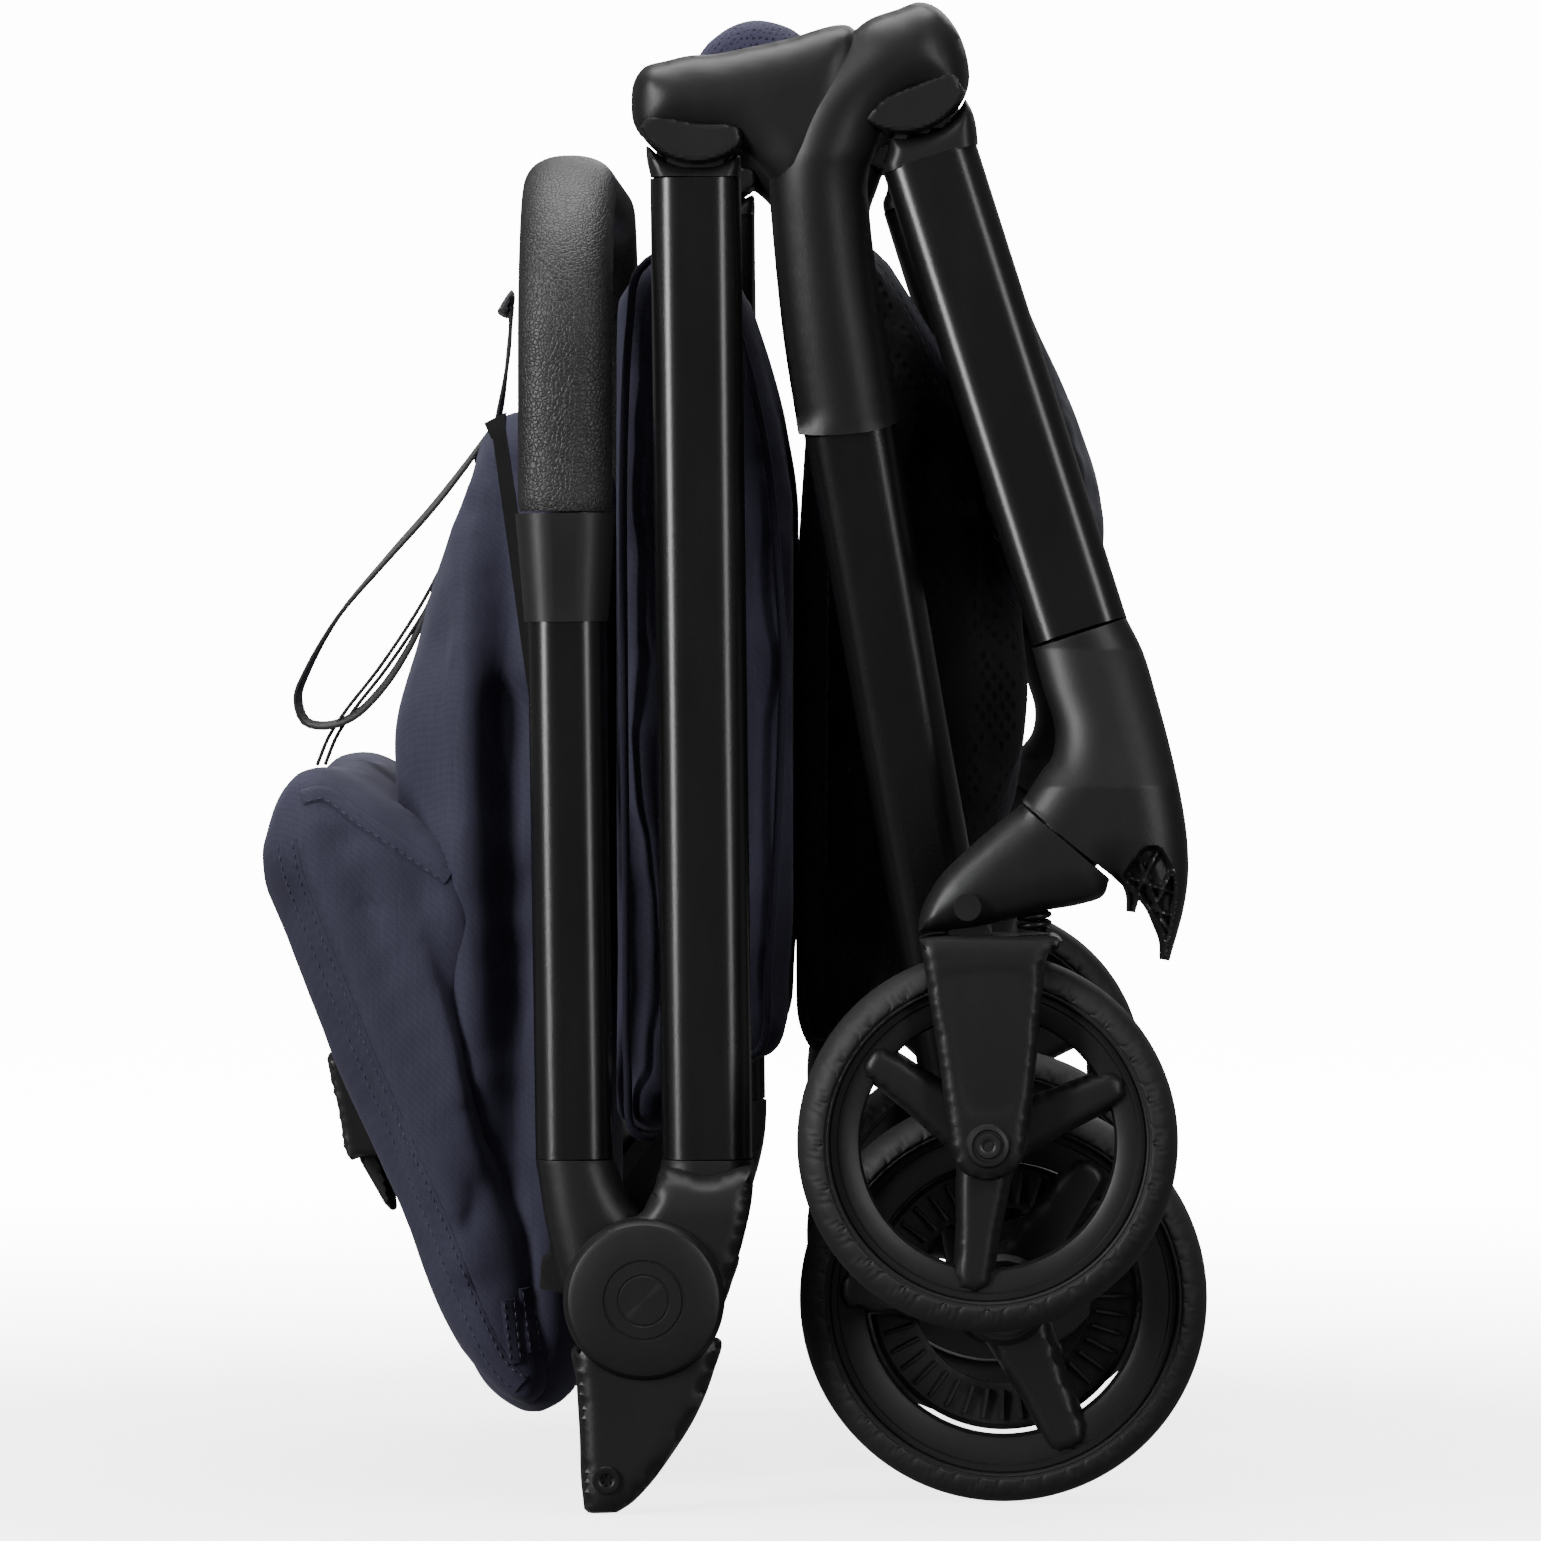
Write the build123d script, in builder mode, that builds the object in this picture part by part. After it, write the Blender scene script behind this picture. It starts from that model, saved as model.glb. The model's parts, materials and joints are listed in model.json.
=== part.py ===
from build123d import *
import os
from math import sin, cos, radians, hypot

# Compact stroller, folded and standing upright on its rear wheels and the feet
# of its fold hinges.  +X is the front, +Y the child's left, +Z up, mm.
# Side outlines are (x, z) points; "right" is the -Y side.

os.makedirs("parts", exist_ok=True)

# ---- driving dimensions ----
P1 = (-12.0, 520.8)        # push frame pivot
P2 = (64.0, 532.6)         # front frame pivot
HINGE = (-31.2, 79.2)      # fold hinge
REAR_HUB = (101.6, 76.0)   # rear wheel centre
FRONT_HUB = (94.9, 138.4)  # front wheel centre
FORK_PIN = (87.3, 225.0)   # suspension pivot
SWIVEL = (123.0, 248.9)    # a point on the caster's swivel axis
SWIVEL_DEG = 51.0          # the swivel axis in side view
CANOPY_PIVOT = (-62.9, 86.5)
R_REAR, W_REAR = 76.0, 26.0
R_FRONT, W_FRONT = 69.7, 24.0
Y_TUBE = 182.0             # push bars and handle tubes, half track
Y_REAR = 158.0             # rear wheel middle
Y_FRONT = 222.0            # front wheel middle
TUBE_W, TUBE_T, WALL = 33.5, 22.0, 1.8
LUG0, LUG1 = 175.0, 189.0  # pivot lugs, inner and outer face
END_R = 24.3               # rounded ends of the side joints
DISC_R = 29.7              # fold hinge disc


def plate(pts, y0, y1, mode=Mode.ADD, smooth=False):
    """A side outline drawn at |y| = y0 and extruded outwards to y1."""
    with BuildSketch(Plane.XZ.offset(y0)) as s:
        with BuildLine():
            if smooth:
                Spline(*pts, periodic=True)
            else:
                Polyline(*pts, close=True)
        make_face()
    extrude(s.sketch, amount=y1 - y0, mode=mode)


def grown(pts, by, y0, y1, mode=Mode.ADD):
    """The same as plate, with the outline grown by a margin."""
    with BuildSketch(Plane.XZ.offset(y0)) as s:
        with BuildLine():
            Polyline(*pts, close=True)
        make_face()
        offset(amount=by, kind=Kind.INTERSECTION)
    extrude(s.sketch, amount=y1 - y0, mode=mode)


def disc(c, r, y0, y1, mode=Mode.ADD):
    with BuildSketch(Plane.XZ.offset(y0)) as s:
        with Locations(c):
            Circle(r)
    extrude(s.sketch, amount=y1 - y0, mode=mode)


def oval(a, b, w, t, wall=0.0, mode=Mode.ADD):
    """A straight oval tube from a to b; w lies in the side view, t across."""
    d = Vector(*b) - Vector(*a)
    side = Vector(0, 1, 0).cross(d).normalized()
    pl = Plane(origin=a, x_dir=side, z_dir=d)
    with BuildSketch(pl) as s:
        RectangleRounded(w, t, min(w, t) / 2 - 0.6)
        if wall:
            RectangleRounded(w - 2 * wall, t - 2 * wall, min(w, t) / 2 - 0.6 - wall, mode=Mode.SUBTRACT)
    extrude(s.sketch, amount=d.length, mode=mode)


def pt(a, b, t):
    return tuple(p + (q - p) * t for p, q in zip(a, b))


def ease(builder, *lengths):
    """Chamfers the rim of the outermost face by the first length that fits."""
    edges = builder.faces().sort_by(Axis.Y)[0].edges()
    for length in lengths:
        try:
            chamfer(edges, length)
            return
        except ValueError:
            continue


def done(builder, name):
    builder.part.label = name
    export_step(builder.part, "parts/" + name + ".step")


# ================= rear frame =================
# Side joint: two cheeks round the pivot lugs, a web between them and a socket
# for the rear leg.
JOINT = [(-31.5, 505.4), (-36.3, 520.1), (-31.5, 533.0), (-23.5, 535.3), (-18.2, 537.3),
         (-6.8, 537.6), (20, 543), (44.5, 548.1), (51.1, 550.3), (61.8, 554.0), (69.9, 556.9),
         (76.6, 554.7), (83.6, 546.6), (88.4, 534.1), (87.6, 525.2), (82.8, 518.2),
         (74.0, 521.2), (64.0, 517.1), (57.0, 510.1), (54.1, 502.4), (51.1, 493.5),
         (52.6, 476.0), (13.5, 478.0), (13.5, 493.5), (8.6, 498.3), (3.5, 502.3), (-3.5, 505.4)]
WEB = [(13.5, 478.0), (15.5, 492.0), (15.5, 536.0), (36, 541.0), (38.0, 520.0), (38.0, 497.0), (52.6, 476.0)]
LEG_TOP = (30.2, -183.0, 480.0)
LEG_END = (101.6, -120.0, 76.0)
SEAM = pt(LEG_TOP, LEG_END, 0.198)
with BuildPart() as side_joint_right:
    plate(JOINT, 166, 174)
    plate(JOINT, 190, 200)
    plate(WEB, 173.9, 190.1)
    ease(side_joint_right, 3.2, 2.0, 1.0)
    oval(LEG_TOP, SEAM, 38.5, 26.0)
    disc(P1, 5.03, 160, 205, mode=Mode.SUBTRACT)
    disc(P2, 5.03, 160, 205, mode=Mode.SUBTRACT)
done(side_joint_right, "side_joint_right")
with BuildPart() as side_joint_left:
    mirror(side_joint_right.part, about=Plane.XZ)
done(side_joint_left, "side_joint_left")

with BuildPart() as rear_legs:
    oval(SEAM, pt(LEG_TOP, LEG_END, 0.93), TUBE_W, TUBE_T, WALL)
    mirror(about=Plane.XZ)
done(rear_legs, "rear_legs")

# Foot of each rear leg: wraps the axle beam's end.
with BuildPart() as rear_leg_feet:
    oval(pt(LEG_TOP, LEG_END, 0.931), pt(LEG_TOP, LEG_END, 1.0), 37.5, 25.0)
    disc(REAR_HUB, 21.0, 108, 132)
    disc(REAR_HUB, 13.0, 131.9, 142.8)
    disc(REAR_HUB, 6.03, 90, 150, mode=Mode.SUBTRACT)
    mirror(about=Plane.XZ)
done(rear_leg_feet, "rear_leg_feet")

with BuildPart() as rear_axle:
    disc(REAR_HUB, 6.0, -175.5, 175.5)
done(rear_axle, "rear_axle")

with BuildPart() as rear_axle_beam:
    disc(REAR_HUB, 14.0, -105.8, 105.8)
    disc(REAR_HUB, 6.03, -110, 110, mode=Mode.SUBTRACT)
done(rear_axle_beam, "rear_axle_beam")

with BuildPart() as frame_pivot_pins:
    disc(P1, 5.0, 166, 193.5)
    disc(P2, 5.0, 166, 193.5)
    disc(P1, 9.0, 161.8, 165.8)
    disc(P2, 9.0, 161.8, 165.8)
    disc(P1, 5.0, 165.5, 167)
    disc(P2, 5.0, 165.5, 167)
    mirror(about=Plane.XZ)
done(frame_pivot_pins, "frame_pivot_pins")

with BuildPart() as seat_cross_tube:
    disc((34, 512), 9.0, -165.8, 165.8)
    disc((34, 512), 7.2, -166, 166, mode=Mode.SUBTRACT)
done(seat_cross_tube, "seat_cross_tube")

# Seat cushion, the crest of it standing over the side joints.
with BuildPart() as seat_cushion:
    plate([(-15, 538), (-10, 545), (5, 553), (22, 550), (30, 543), (33, 530), (24, 523),
           (6, 524), (-3, 521), (-13, 527)], -150, 150)
done(seat_cushion, "seat_cushion")

# Shopping basket, collapsed between the leg pairs.
with BuildPart() as basket:
    plate([(42, 448), (33, 400), (28, 336), (26, 260), (24, 200), (27, 166), (36, 162), (56, 186), (74, 214), (94, 238), (106, 262),
           (112, 296), (108, 330), (97, 350), (88, 385), (74, 430), (60, 455), (50, 470)], -106, 106)
done(basket, "basket")

# Brake cross bar hangs behind the axle; its pedal is at the middle.
with BuildPart() as brake_pedal:
    disc(REAR_HUB, 18.0, -34, 34)
    disc(REAR_HUB, 14.3, -40, 40, mode=Mode.SUBTRACT)
    plate([(90.5, 63.5), (84, 60), (66, 44), (52, 36), (49, 40), (50, 45), (64, 55), (78, 70), (85.5, 73)], -30, 30)
done(brake_pedal, "brake_pedal")

# Rear wheels.
def tyre(c, r, w, y, depth):
    """Rounded tyre: a half-round tread on a straight bead."""
    with BuildSketch(Plane(origin=(c[0], -y, c[1]), x_dir=(1, 0, 0), z_dir=(0, 0, 1))) as s:
        with BuildLine():
            l1 = Polyline((r - depth, -w / 2 + 1.5), (r - 8, -w / 2))
            l2 = ThreePointArc(l1 @ 1, (r, 0), (r - 8, w / 2))
            l3 = Polyline(l2 @ 1, (r - depth, w / 2 - 1.5))
            Line(l3 @ 1, l1 @ 0)
        make_face()
    revolve(s.sketch, axis=Axis((c[0], -y, c[1]), (0, 1, 0)))


def spoked(c, r_out, r_in, r_hub, w, y, angles, wide, hub_w, bore):
    disc(c, r_out, y - w / 2, y + w / 2)
    disc(c, r_in, y - w / 2 - 1, y + w / 2 + 1, mode=Mode.SUBTRACT)
    for a in angles:
        u = (cos(radians(a)), sin(radians(a)))
        n = (-u[1], u[0])
        h0, h1, r0, r1 = wide[0] / 2, wide[1] / 2, r_hub * 0.6, r_out - 2.5
        plate([(c[0] + u[0] * r0 + n[0] * h0, c[1] + u[1] * r0 + n[1] * h0),
               (c[0] + u[0] * (r1 - 4) + n[0] * h1, c[1] + u[1] * (r1 - 4) + n[1] * h1),
               (c[0] + u[0] * r1 + n[0] * h1 * 0.6, c[1] + u[1] * r1 + n[1] * h1 * 0.6),
               (c[0] + u[0] * r1 - n[0] * h1 * 0.6, c[1] + u[1] * r1 - n[1] * h1 * 0.6),
               (c[0] + u[0] * (r1 - 4) - n[0] * h1, c[1] + u[1] * (r1 - 4) - n[1] * h1),
               (c[0] + u[0] * r0 - n[0] * h0, c[1] + u[1] * r0 - n[1] * h0)], y - w / 2 + 1.5, y + w / 2 + 1.2)
    disc(c, r_hub, y - hub_w / 2, y + hub_w / 2)
    disc(c, bore, y - 40, y + 40, mode=Mode.SUBTRACT)


with BuildPart() as rear_tyre_right:
    tyre(REAR_HUB, R_REAR, W_REAR, Y_REAR, 11.0)
done(rear_tyre_right, "rear_tyre_right")
with BuildPart() as rear_tyre_left:
    mirror(rear_tyre_right.part, about=Plane.XZ)
done(rear_tyre_left, "rear_tyre_left")
with BuildPart() as rear_rim_right:
    spoked(REAR_HUB, R_REAR - 11.0, 51.0, 17.0, 16.0, Y_REAR, (56, 176, 295), (24, 17), 24.0, 6.06)
    # brake ratchet, moulded on the inner side
    disc(REAR_HUB, 30.0, Y_REAR - 14.8, Y_REAR - 10.0)
    with BuildSketch(Plane.XZ.offset(Y_REAR - 14.8)) as teeth:
        with Locations(REAR_HUB):
            with PolarLocations(30.0, 12):
                Rectangle(5, 6)
    extrude(teeth.sketch, amount=6.0)
    disc(REAR_HUB, 6.06, 100, 200, mode=Mode.SUBTRACT)
done(rear_rim_right, "rear_rim_right")
with BuildPart() as rear_rim_left:
    mirror(rear_rim_right.part, about=Plane.XZ)
done(rear_rim_left, "rear_rim_left")
with BuildPart() as rear_axle_caps:
    disc(REAR_HUB, 12.5, 170.3, 175.5)
    disc(REAR_HUB, 6.03, 160, 180.0, mode=Mode.SUBTRACT)
    mirror(about=Plane.XZ)
done(rear_axle_caps, "rear_axle_washers")

# ================= push frame =================
PB_TOP = (-12.65, -Y_TUBE, 492.0)
PB_END = (-8.3, -Y_TUBE, 129.8)
with BuildPart() as push_bars:
    oval(PB_TOP, PB_END, TUBE_W, TUBE_T, WALL)
    mirror(about=Plane.XZ)
done(push_bars, "push_bars")

# Cap of each push bar: a saddle under the joint's rounded end and a lug on the pin.
with BuildPart() as push_bar_caps:
    plate([(-29.2, 492.35), (-31.0, 505.5), (1.8, 505.5), (4.2, 492.35)], 170.5, 193.5)
    disc(P1, 25.2, 160, 205, mode=Mode.SUBTRACT)
    grown(JOINT, 0.8, 160, 205, mode=Mode.SUBTRACT)
    plate([(-23, 492.4), (-23, 520.8), (-1, 520.8), (-1, 492.4)], LUG0, LUG1)
    disc(P1, 11.0, LUG0, LUG1)
    disc(P1, 5.05, 160, 205, mode=Mode.SUBTRACT)
    mirror(about=Plane.XZ)
done(push_bar_caps, "push_bar_caps")

# Fold hinge, push bar side: housing under the bar, an outer disc and its skirt.
with BuildPart() as hinge_base_right:
    plate([(-25.4, 129.4), (9.0, 129.4), (8.6, 111.5), (-0.2, 86.5), (-3, 84), (-14, 108), (-24, 110.6), (-31.8, 111.2)], 170.5, 195.6)
    disc(HINGE, DISC_R + 0.8, 160, 194.9, mode=Mode.SUBTRACT)
    plate([(-25.4, 129.4), (9.0, 129.4), (8.6, 111.5), (-0.2, 83.5), (-12, 70), (-50, 96), (-34, 109.5)], 195.5, 206.0)
    disc(HINGE, DISC_R, 195.5, 209.0)
    ease(hinge_base_right, 1.6, 1.0)
    disc(HINGE, 7.05, 150, 207, mode=Mode.SUBTRACT)
done(hinge_base_right, "hinge_base_right")
with BuildPart() as hinge_base_left:
    mirror(hinge_base_right.part, about=Plane.XZ)
done(hinge_base_left, "hinge_base_left")

# Ringed cover on the disc.
with BuildPart() as hinge_covers:
    disc(HINGE, 25.0, 209.1, 210.6)
    for r0, r1 in ((24.9, 22.6), (20.8, 19.4), (16.6, 0.0)):
        disc(HINGE, r0, 210.5, 211.8)
        if r1:
            disc(HINGE, r1, 210.6, 212.5, mode=Mode.SUBTRACT)
    mirror(about=Plane.XZ)
done(hinge_covers, "hinge_covers")

# Horn shaped stand foot below each hinge.
HORN = [(-57.6, 59.2), (-56, 40), (-54.8, 15), (-53.2, 1.0), (-51.5, 0.0), (-40.0, 0.0), (-33, 5.5), (-25.6, 13.6),
        (-14.6, 31.2), (-6.4, 47.8), (-2.8, 64.4), (-7, 68)]
with BuildPart() as stand_feet:
    plate(HORN, 196.0, 207.5)
    ease(stand_feet, 2.0, 1.2, 0.8)
    disc(HINGE, DISC_R + 0.1, 190, 215, mode=Mode.SUBTRACT)
    disc((-44.9, 12.8), 3.0, 190, 215, mode=Mode.SUBTRACT)
    mirror(about=Plane.XZ)
done(stand_feet, "stand_feet")
with BuildPart() as foot_screws:
    disc((-44.9, 12.8), 2.98, 196.5, 207.4)
    disc((-44.9, 12.8), 5.2, 207.5, 209.4)
    with BuildSketch(Plane.XZ.offset(208.2)) as hexagon:
        with Locations((-44.9, 12.8)):
            RegularPolygon(2.4, 6)
    extrude(hexagon.sketch, amount=3, mode=Mode.SUBTRACT)
    mirror(about=Plane.XZ)
done(foot_screws, "foot_screws")

with BuildPart() as hinge_pins:
    disc(HINGE, 7.0, 164.5, 206.5)
    mirror(about=Plane.XZ)
done(hinge_pins, "hinge_pins")

with BuildPart() as back_cross_tube:
    disc((-9.5, 150), 8.0, -170.3, 170.3)
    disc((-9.5, 150), 6.4, -171, 171, mode=Mode.SUBTRACT)
done(back_cross_tube, "back_cross_tube")

# Brackets that carry the canopy, inside the handle tubes.
with BuildPart() as canopy_brackets:
    plate([(4, 146), (-20, 146), (-55, 100), (-70, 92), (-71, 80), (-60, 78), (-44, 94), (-4, 126)], 162.0, 168.0)
    disc((-9.5, 150), 12.0, 162.0, 170.3)
    disc((-9.5, 150), 8.03, 150.0, 172.0, mode=Mode.SUBTRACT)
    disc(CANOPY_PIVOT, 4.03, 150.0, 172.0, mode=Mode.SUBTRACT)
    mirror(about=Plane.XZ)
done(canopy_brackets, "canopy_brackets")
with BuildPart() as canopy_pins:
    disc(CANOPY_PIVOT, 4.0, 152.0, 168.0)
    disc(CANOPY_PIVOT, 7.0, 168.1, 169.3)
    mirror(about=Plane.XZ)
done(canopy_pins, "canopy_pins")

# Backrest pad, hung between the push bars.
with BuildPart() as backrest:
    plate([(-36, 462), (-40, 440), (-42.5, 395), (-41.5, 224), (-41.0, 150), (-38, 133), (-25.5, 133), (-21.5, 146), (-20.5, 162),
           (0, 163), (12, 165), (16, 201), (19, 239), (21, 284), (21.7, 314), (20.6, 336), (16.2, 385), (9.4, 418), (1, 446), (-8, 466), (-20, 470)], -152, 152)
done(backrest, "backrest")

# ================= handle =================
HB = (-57.45, -Y_TUBE, 129.8)
HT = (-60.9, -Y_TUBE, 368.5)
with BuildPart() as handle_tubes:
    oval(HB, HT, 28.8, 22.0, WALL)
    mirror(about=Plane.XZ)
done(handle_tubes, "handle_tubes")
with BuildPart() as handle_collars:
    cpl = Plane(origin=(-60.5, -Y_TUBE, 328.4), x_dir=(1, 0, 0), z_dir=(-0.01, 0, 1))
    with BuildSketch(cpl) as ca:
        RectangleRounded(31.0, 24.2, 11.4)
    with BuildSketch(cpl.offset(40.0)) as cb:
        RectangleRounded(36.9, 28.0, 13.4)
    loft([ca.sketch.faces()[0], cb.sketch.faces()[0]])
    oval(HB, (-60.93, -Y_TUBE, 370), 28.86, 22.06, mode=Mode.SUBTRACT)
    mirror(about=Plane.XZ)
done(handle_collars, "handle_collars")

# Grip sleeve: a leg up each side, a rounded corner and a straight top.
GRIP_Z, CORNER = 489.9, 62.0
GX = -60.9
grip_leg_plane = Plane(origin=(GX, -Y_TUBE, 368.9), x_dir=(1, 0, 0), z_dir=(0, 0, 1))
with BuildPart() as handle_grip_sides:
    with BuildSketch(grip_leg_plane) as gs:
        RectangleRounded(35.2, 27.0, 13.0)
    with BuildLine() as gl:
        g1 = Line((GX, -Y_TUBE, 368.9), (GX, -Y_TUBE, GRIP_Z - CORNER))
        ThreePointArc((GX, -Y_TUBE, GRIP_Z - CORNER),
                      (GX, -Y_TUBE + CORNER * (1 - cos(radians(45))), GRIP_Z - CORNER * (1 - sin(radians(45)))),
                      (GX, -Y_TUBE + CORNER, GRIP_Z))
    sweep(gs.sketch, path=gl.line)
    mirror(about=Plane.XZ)
done(handle_grip_sides, "handle_grip_sides")
with BuildPart() as handle_grip_top:
    with BuildSketch(Plane(origin=(GX, -Y_TUBE + CORNER + 0.05, GRIP_Z), x_dir=(1, 0, 0), z_dir=(0, 1, 0))) as gt:
        RectangleRounded(35.2, 27.0, 13.0)
    extrude(gt.sketch, amount=2 * (Y_TUBE - CORNER - 0.05))
    with BuildSketch(Plane.XY.offset(484.5)) as slot:
        with Locations((GX, 0)):
            RectangleRounded(16.8, 44.6, 4)
    extrude(slot.sketch, amount=-25, mode=Mode.SUBTRACT)
done(handle_grip_top, "handle_grip_top")
with BuildPart() as fold_trigger:
    with BuildSketch(Plane.XY.offset(479.9)) as ft:
        with Locations((GX, 0)):
            RectangleRounded(16.0, 44.0, 3.8)
    extrude(ft.sketch, amount=-8.5)
    fillet(fold_trigger.faces().sort_by(Axis.Z)[0].edges(), 2.0)
done(fold_trigger, "fold_trigger")

# Fold hinge, handle side: housing and inner disc.
with BuildPart() as hinge_arms:
    plate([(-72.0, 129.4), (-42.6, 129.4), (-36.0, 112.6), (-25, 100), (-40, 72), (-58, 79), (-61.6, 84.0)], 170.5, 194.6)
    disc(HINGE, DISC_R, 170.0, 194.6)
    disc(HINGE, 7.05, 150, 207, mode=Mode.SUBTRACT)
    mirror(about=Plane.XZ)
done(hinge_arms, "hinge_arms")

# ================= front frame =================
FL_TOP = (74.1, -183.0, 498.5)
FL_END = (129.0, -204.0, 324.4)
with BuildPart() as front_legs:
    oval(FL_TOP, FL_END, 36.0, TUBE_T, WALL)
    mirror(about=Plane.XZ)
done(front_legs, "front_legs")
with BuildPart() as front_leg_caps:
    oval((69.0, -181.05, 514.7), pt(FL_TOP, FL_END, -0.0005), 37.0, 23.5)
    disc(P2, 25.4, 150, 215, mode=Mode.SUBTRACT)
    grown(JOINT, 0.8, 150, 215, mode=Mode.SUBTRACT)
    plate([(52.5, 528.0), (74.5, 534.9), (85.5, 500.1), (63.5, 493.2)], LUG0, LUG1)
    disc(P2, 11.2, LUG0, LUG1)
    disc(P2, 5.05, 150, 215, mode=Mode.SUBTRACT)
    oval(FL_TOP, FL_END, 60.0, 60.0, mode=Mode.SUBTRACT)
    mirror(about=Plane.XZ)
done(front_leg_caps, "front_leg_caps")

# Foot casting: socket for the leg, swivel housing and a mudguard fin.
CAST = [(111.5, 318.6), (145.8, 329.9), (151.7, 317.5), (156.4, 302.1), (162.5, 278.7), (167.4, 255.1), (168.0, 235.8),
        (165.7, 220.8), (160.4, 204.8), (157.9, 205.2), (159.7, 210.4), (157.9, 215.1), (154.6, 220.6), (149.1, 228.7),
        (141.1, 236.0), (123.2, 249.3), (107.6, 262.9), (114.3, 273.3), (118.5, 279.8), (119.6, 289.4), (115.3, 304.4)]
AX = (cos(radians(SWIVEL_DEG)), sin(radians(SWIVEL_DEG)))
for_stem = Plane(origin=(SWIVEL[0], -Y_FRONT, SWIVEL[1]), x_dir=(AX[1], 0, -AX[0]), z_dir=(AX[0], 0, AX[1]))
with BuildPart() as foot_casting_right:
    plate(CAST, 200.0, 240.0)
    ease(foot_casting_right, 3.0, 2.0, 1.4, 1.0, 0.6)
    plate([(140.7, 234.0), (146.0, 242.0), (151.3, 247.6), (155.1, 249.2), (157.6, 247.0), (159.0, 240.0), (162.0, 222.0), (158.6, 212.5), (150, 222)],
          206.0, 234.0, mode=Mode.SUBTRACT)
    oval(pt(FL_TOP, FL_END, 0.9995), pt(FL_TOP, FL_END, 1.25), 37.5, 25.0)
    oval(FL_TOP, FL_END, 60.0, 80.0, mode=Mode.SUBTRACT)
    with BuildSketch(for_stem.offset(-5.0)) as bore:
        Circle(5.05)
    extrude(bore.sketch, amount=29.5, mode=Mode.SUBTRACT)
done(foot_casting_right, "foot_casting_right")
with BuildPart() as foot_casting_left:
    mirror(foot_casting_right.part, about=Plane.XZ)
done(foot_casting_left, "foot_casting_left")

with BuildPart() as front_cross_tube:
    disc((118.0, 350.0), 8.0, -189.0, 189.0)
    disc((118.0, 350.0), 6.4, -190, 190, mode=Mode.SUBTRACT)
    oval(FL_TOP, FL_END, 36.1, TUBE_T + 0.1, mode=Mode.SUBTRACT)
    oval((FL_TOP[0], 183.0, FL_TOP[2]), (FL_END[0], 204.0, FL_END[2]), 36.1, TUBE_T + 0.1, mode=Mode.SUBTRACT)
done(front_cross_tube, "front_cross_tube")

# Leg rest pad between the front legs.
with BuildPart() as leg_rest:
    plate([(74, 486), (90, 492), (112, 440), (128, 404), (137, 372), (139, 352), (128, 338), (126.6, 345), (127, 352), (123, 359),
           (115, 360), (108.5, 356), (103, 360), (92, 395), (80, 440)], -160, 160)
done(leg_rest, "leg_rest")

# ================= casters =================
HEAD = [(107.4, 261.9), (138.1, 235.4), (135.3, 228.7), (130.5, 226.3), (113.8, 223.6), (102.0, 219.6), (93.8, 218.2), (69.7, 215.6), (71.9, 225.5), (79.2, 238.2), (92, 250)]
with BuildPart() as swivel_head_right:
    plate(HEAD, Y_FRONT - 17.5, Y_FRONT + 17.5)
    ease(swivel_head_right, 1.6, 1.0, 0.6)
    plate([(60, 214), (60, 232), (76, 236.5), (92, 238), (104, 231), (134, 232), (140, 214)], Y_FRONT - 8.4, Y_FRONT + 8.4, mode=Mode.SUBTRACT)
    disc(FORK_PIN, 3.53, Y_FRONT - 30, Y_FRONT + 30, mode=Mode.SUBTRACT)
    with BuildSketch(for_stem.offset(-3.0)) as st:
        Circle(5.0)
    extrude(st.sketch, amount=27)
done(swivel_head_right, "swivel_head_right")
with BuildPart() as swivel_head_left:
    mirror(swivel_head_right.part, about=Plane.XZ)
done(swivel_head_left, "swivel_head_left")
with BuildPart() as caster_pins:
    disc(FORK_PIN, 3.5, Y_FRONT - 17.5, Y_FRONT + 17.5)
    disc(FORK_PIN, 5.0, Y_FRONT + 17.6, Y_FRONT + 19.0)
done(caster_pins, "suspension_pin_right")
with BuildPart() as suspension_pin_left:
    mirror(caster_pins.part, about=Plane.XZ)
done(suspension_pin_left, "suspension_pin_left")

# Fork: two legs, a bridge over the tyre and a tongue on the suspension pin.
FORK = [(69.9, 214.2), (122.0, 214.2), (122.0, 211.3), (116.0, 208.6), (115.4, 201.9), (112.6, 173.0), (109.9, 144.1),
        (107.6, 133.6), (101.5, 127.4), (94.9, 125.5), (88.1, 127.5), (82.2, 133.6), (80.0, 144.1), (77.1, 168.6), (73.8, 188.6), (71.5, 206.3)]
with BuildPart() as fork_right:
    plate(FORK, Y_FRONT + 13.4, Y_FRONT + 22.0)
    ease(fork_right, 2.0, 1.4, 1.0, 0.6)
    plate(FORK, Y_FRONT - 22.0, Y_FRONT - 13.4)
    plate([(69.9, 214.2), (122.0, 214.2), (121.6, 211.5), (108.0, 210.0), (95, 209.6), (82.0, 210.2), (70.6, 210.6)], Y_FRONT - 13.5, Y_FRONT + 13.5)
    plate([(79.0, 214.1), (79.6, 224.0), (95.0, 224.0), (97.0, 214.1)], Y_FRONT - 8.0, Y_FRONT + 8.0)
    disc(FORK_PIN, 7.8, Y_FRONT - 8.0, Y_FRONT + 8.0)
    disc(FORK_PIN, 3.56, Y_FRONT - 30, Y_FRONT + 30, mode=Mode.SUBTRACT)
    disc(FRONT_HUB, 4.03, Y_FRONT - 30, Y_FRONT + 30, mode=Mode.SUBTRACT)
done(fork_right, "fork_right")
with BuildPart() as fork_left:
    mirror(fork_right.part, about=Plane.XZ)
done(fork_left, "fork_left")
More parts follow.
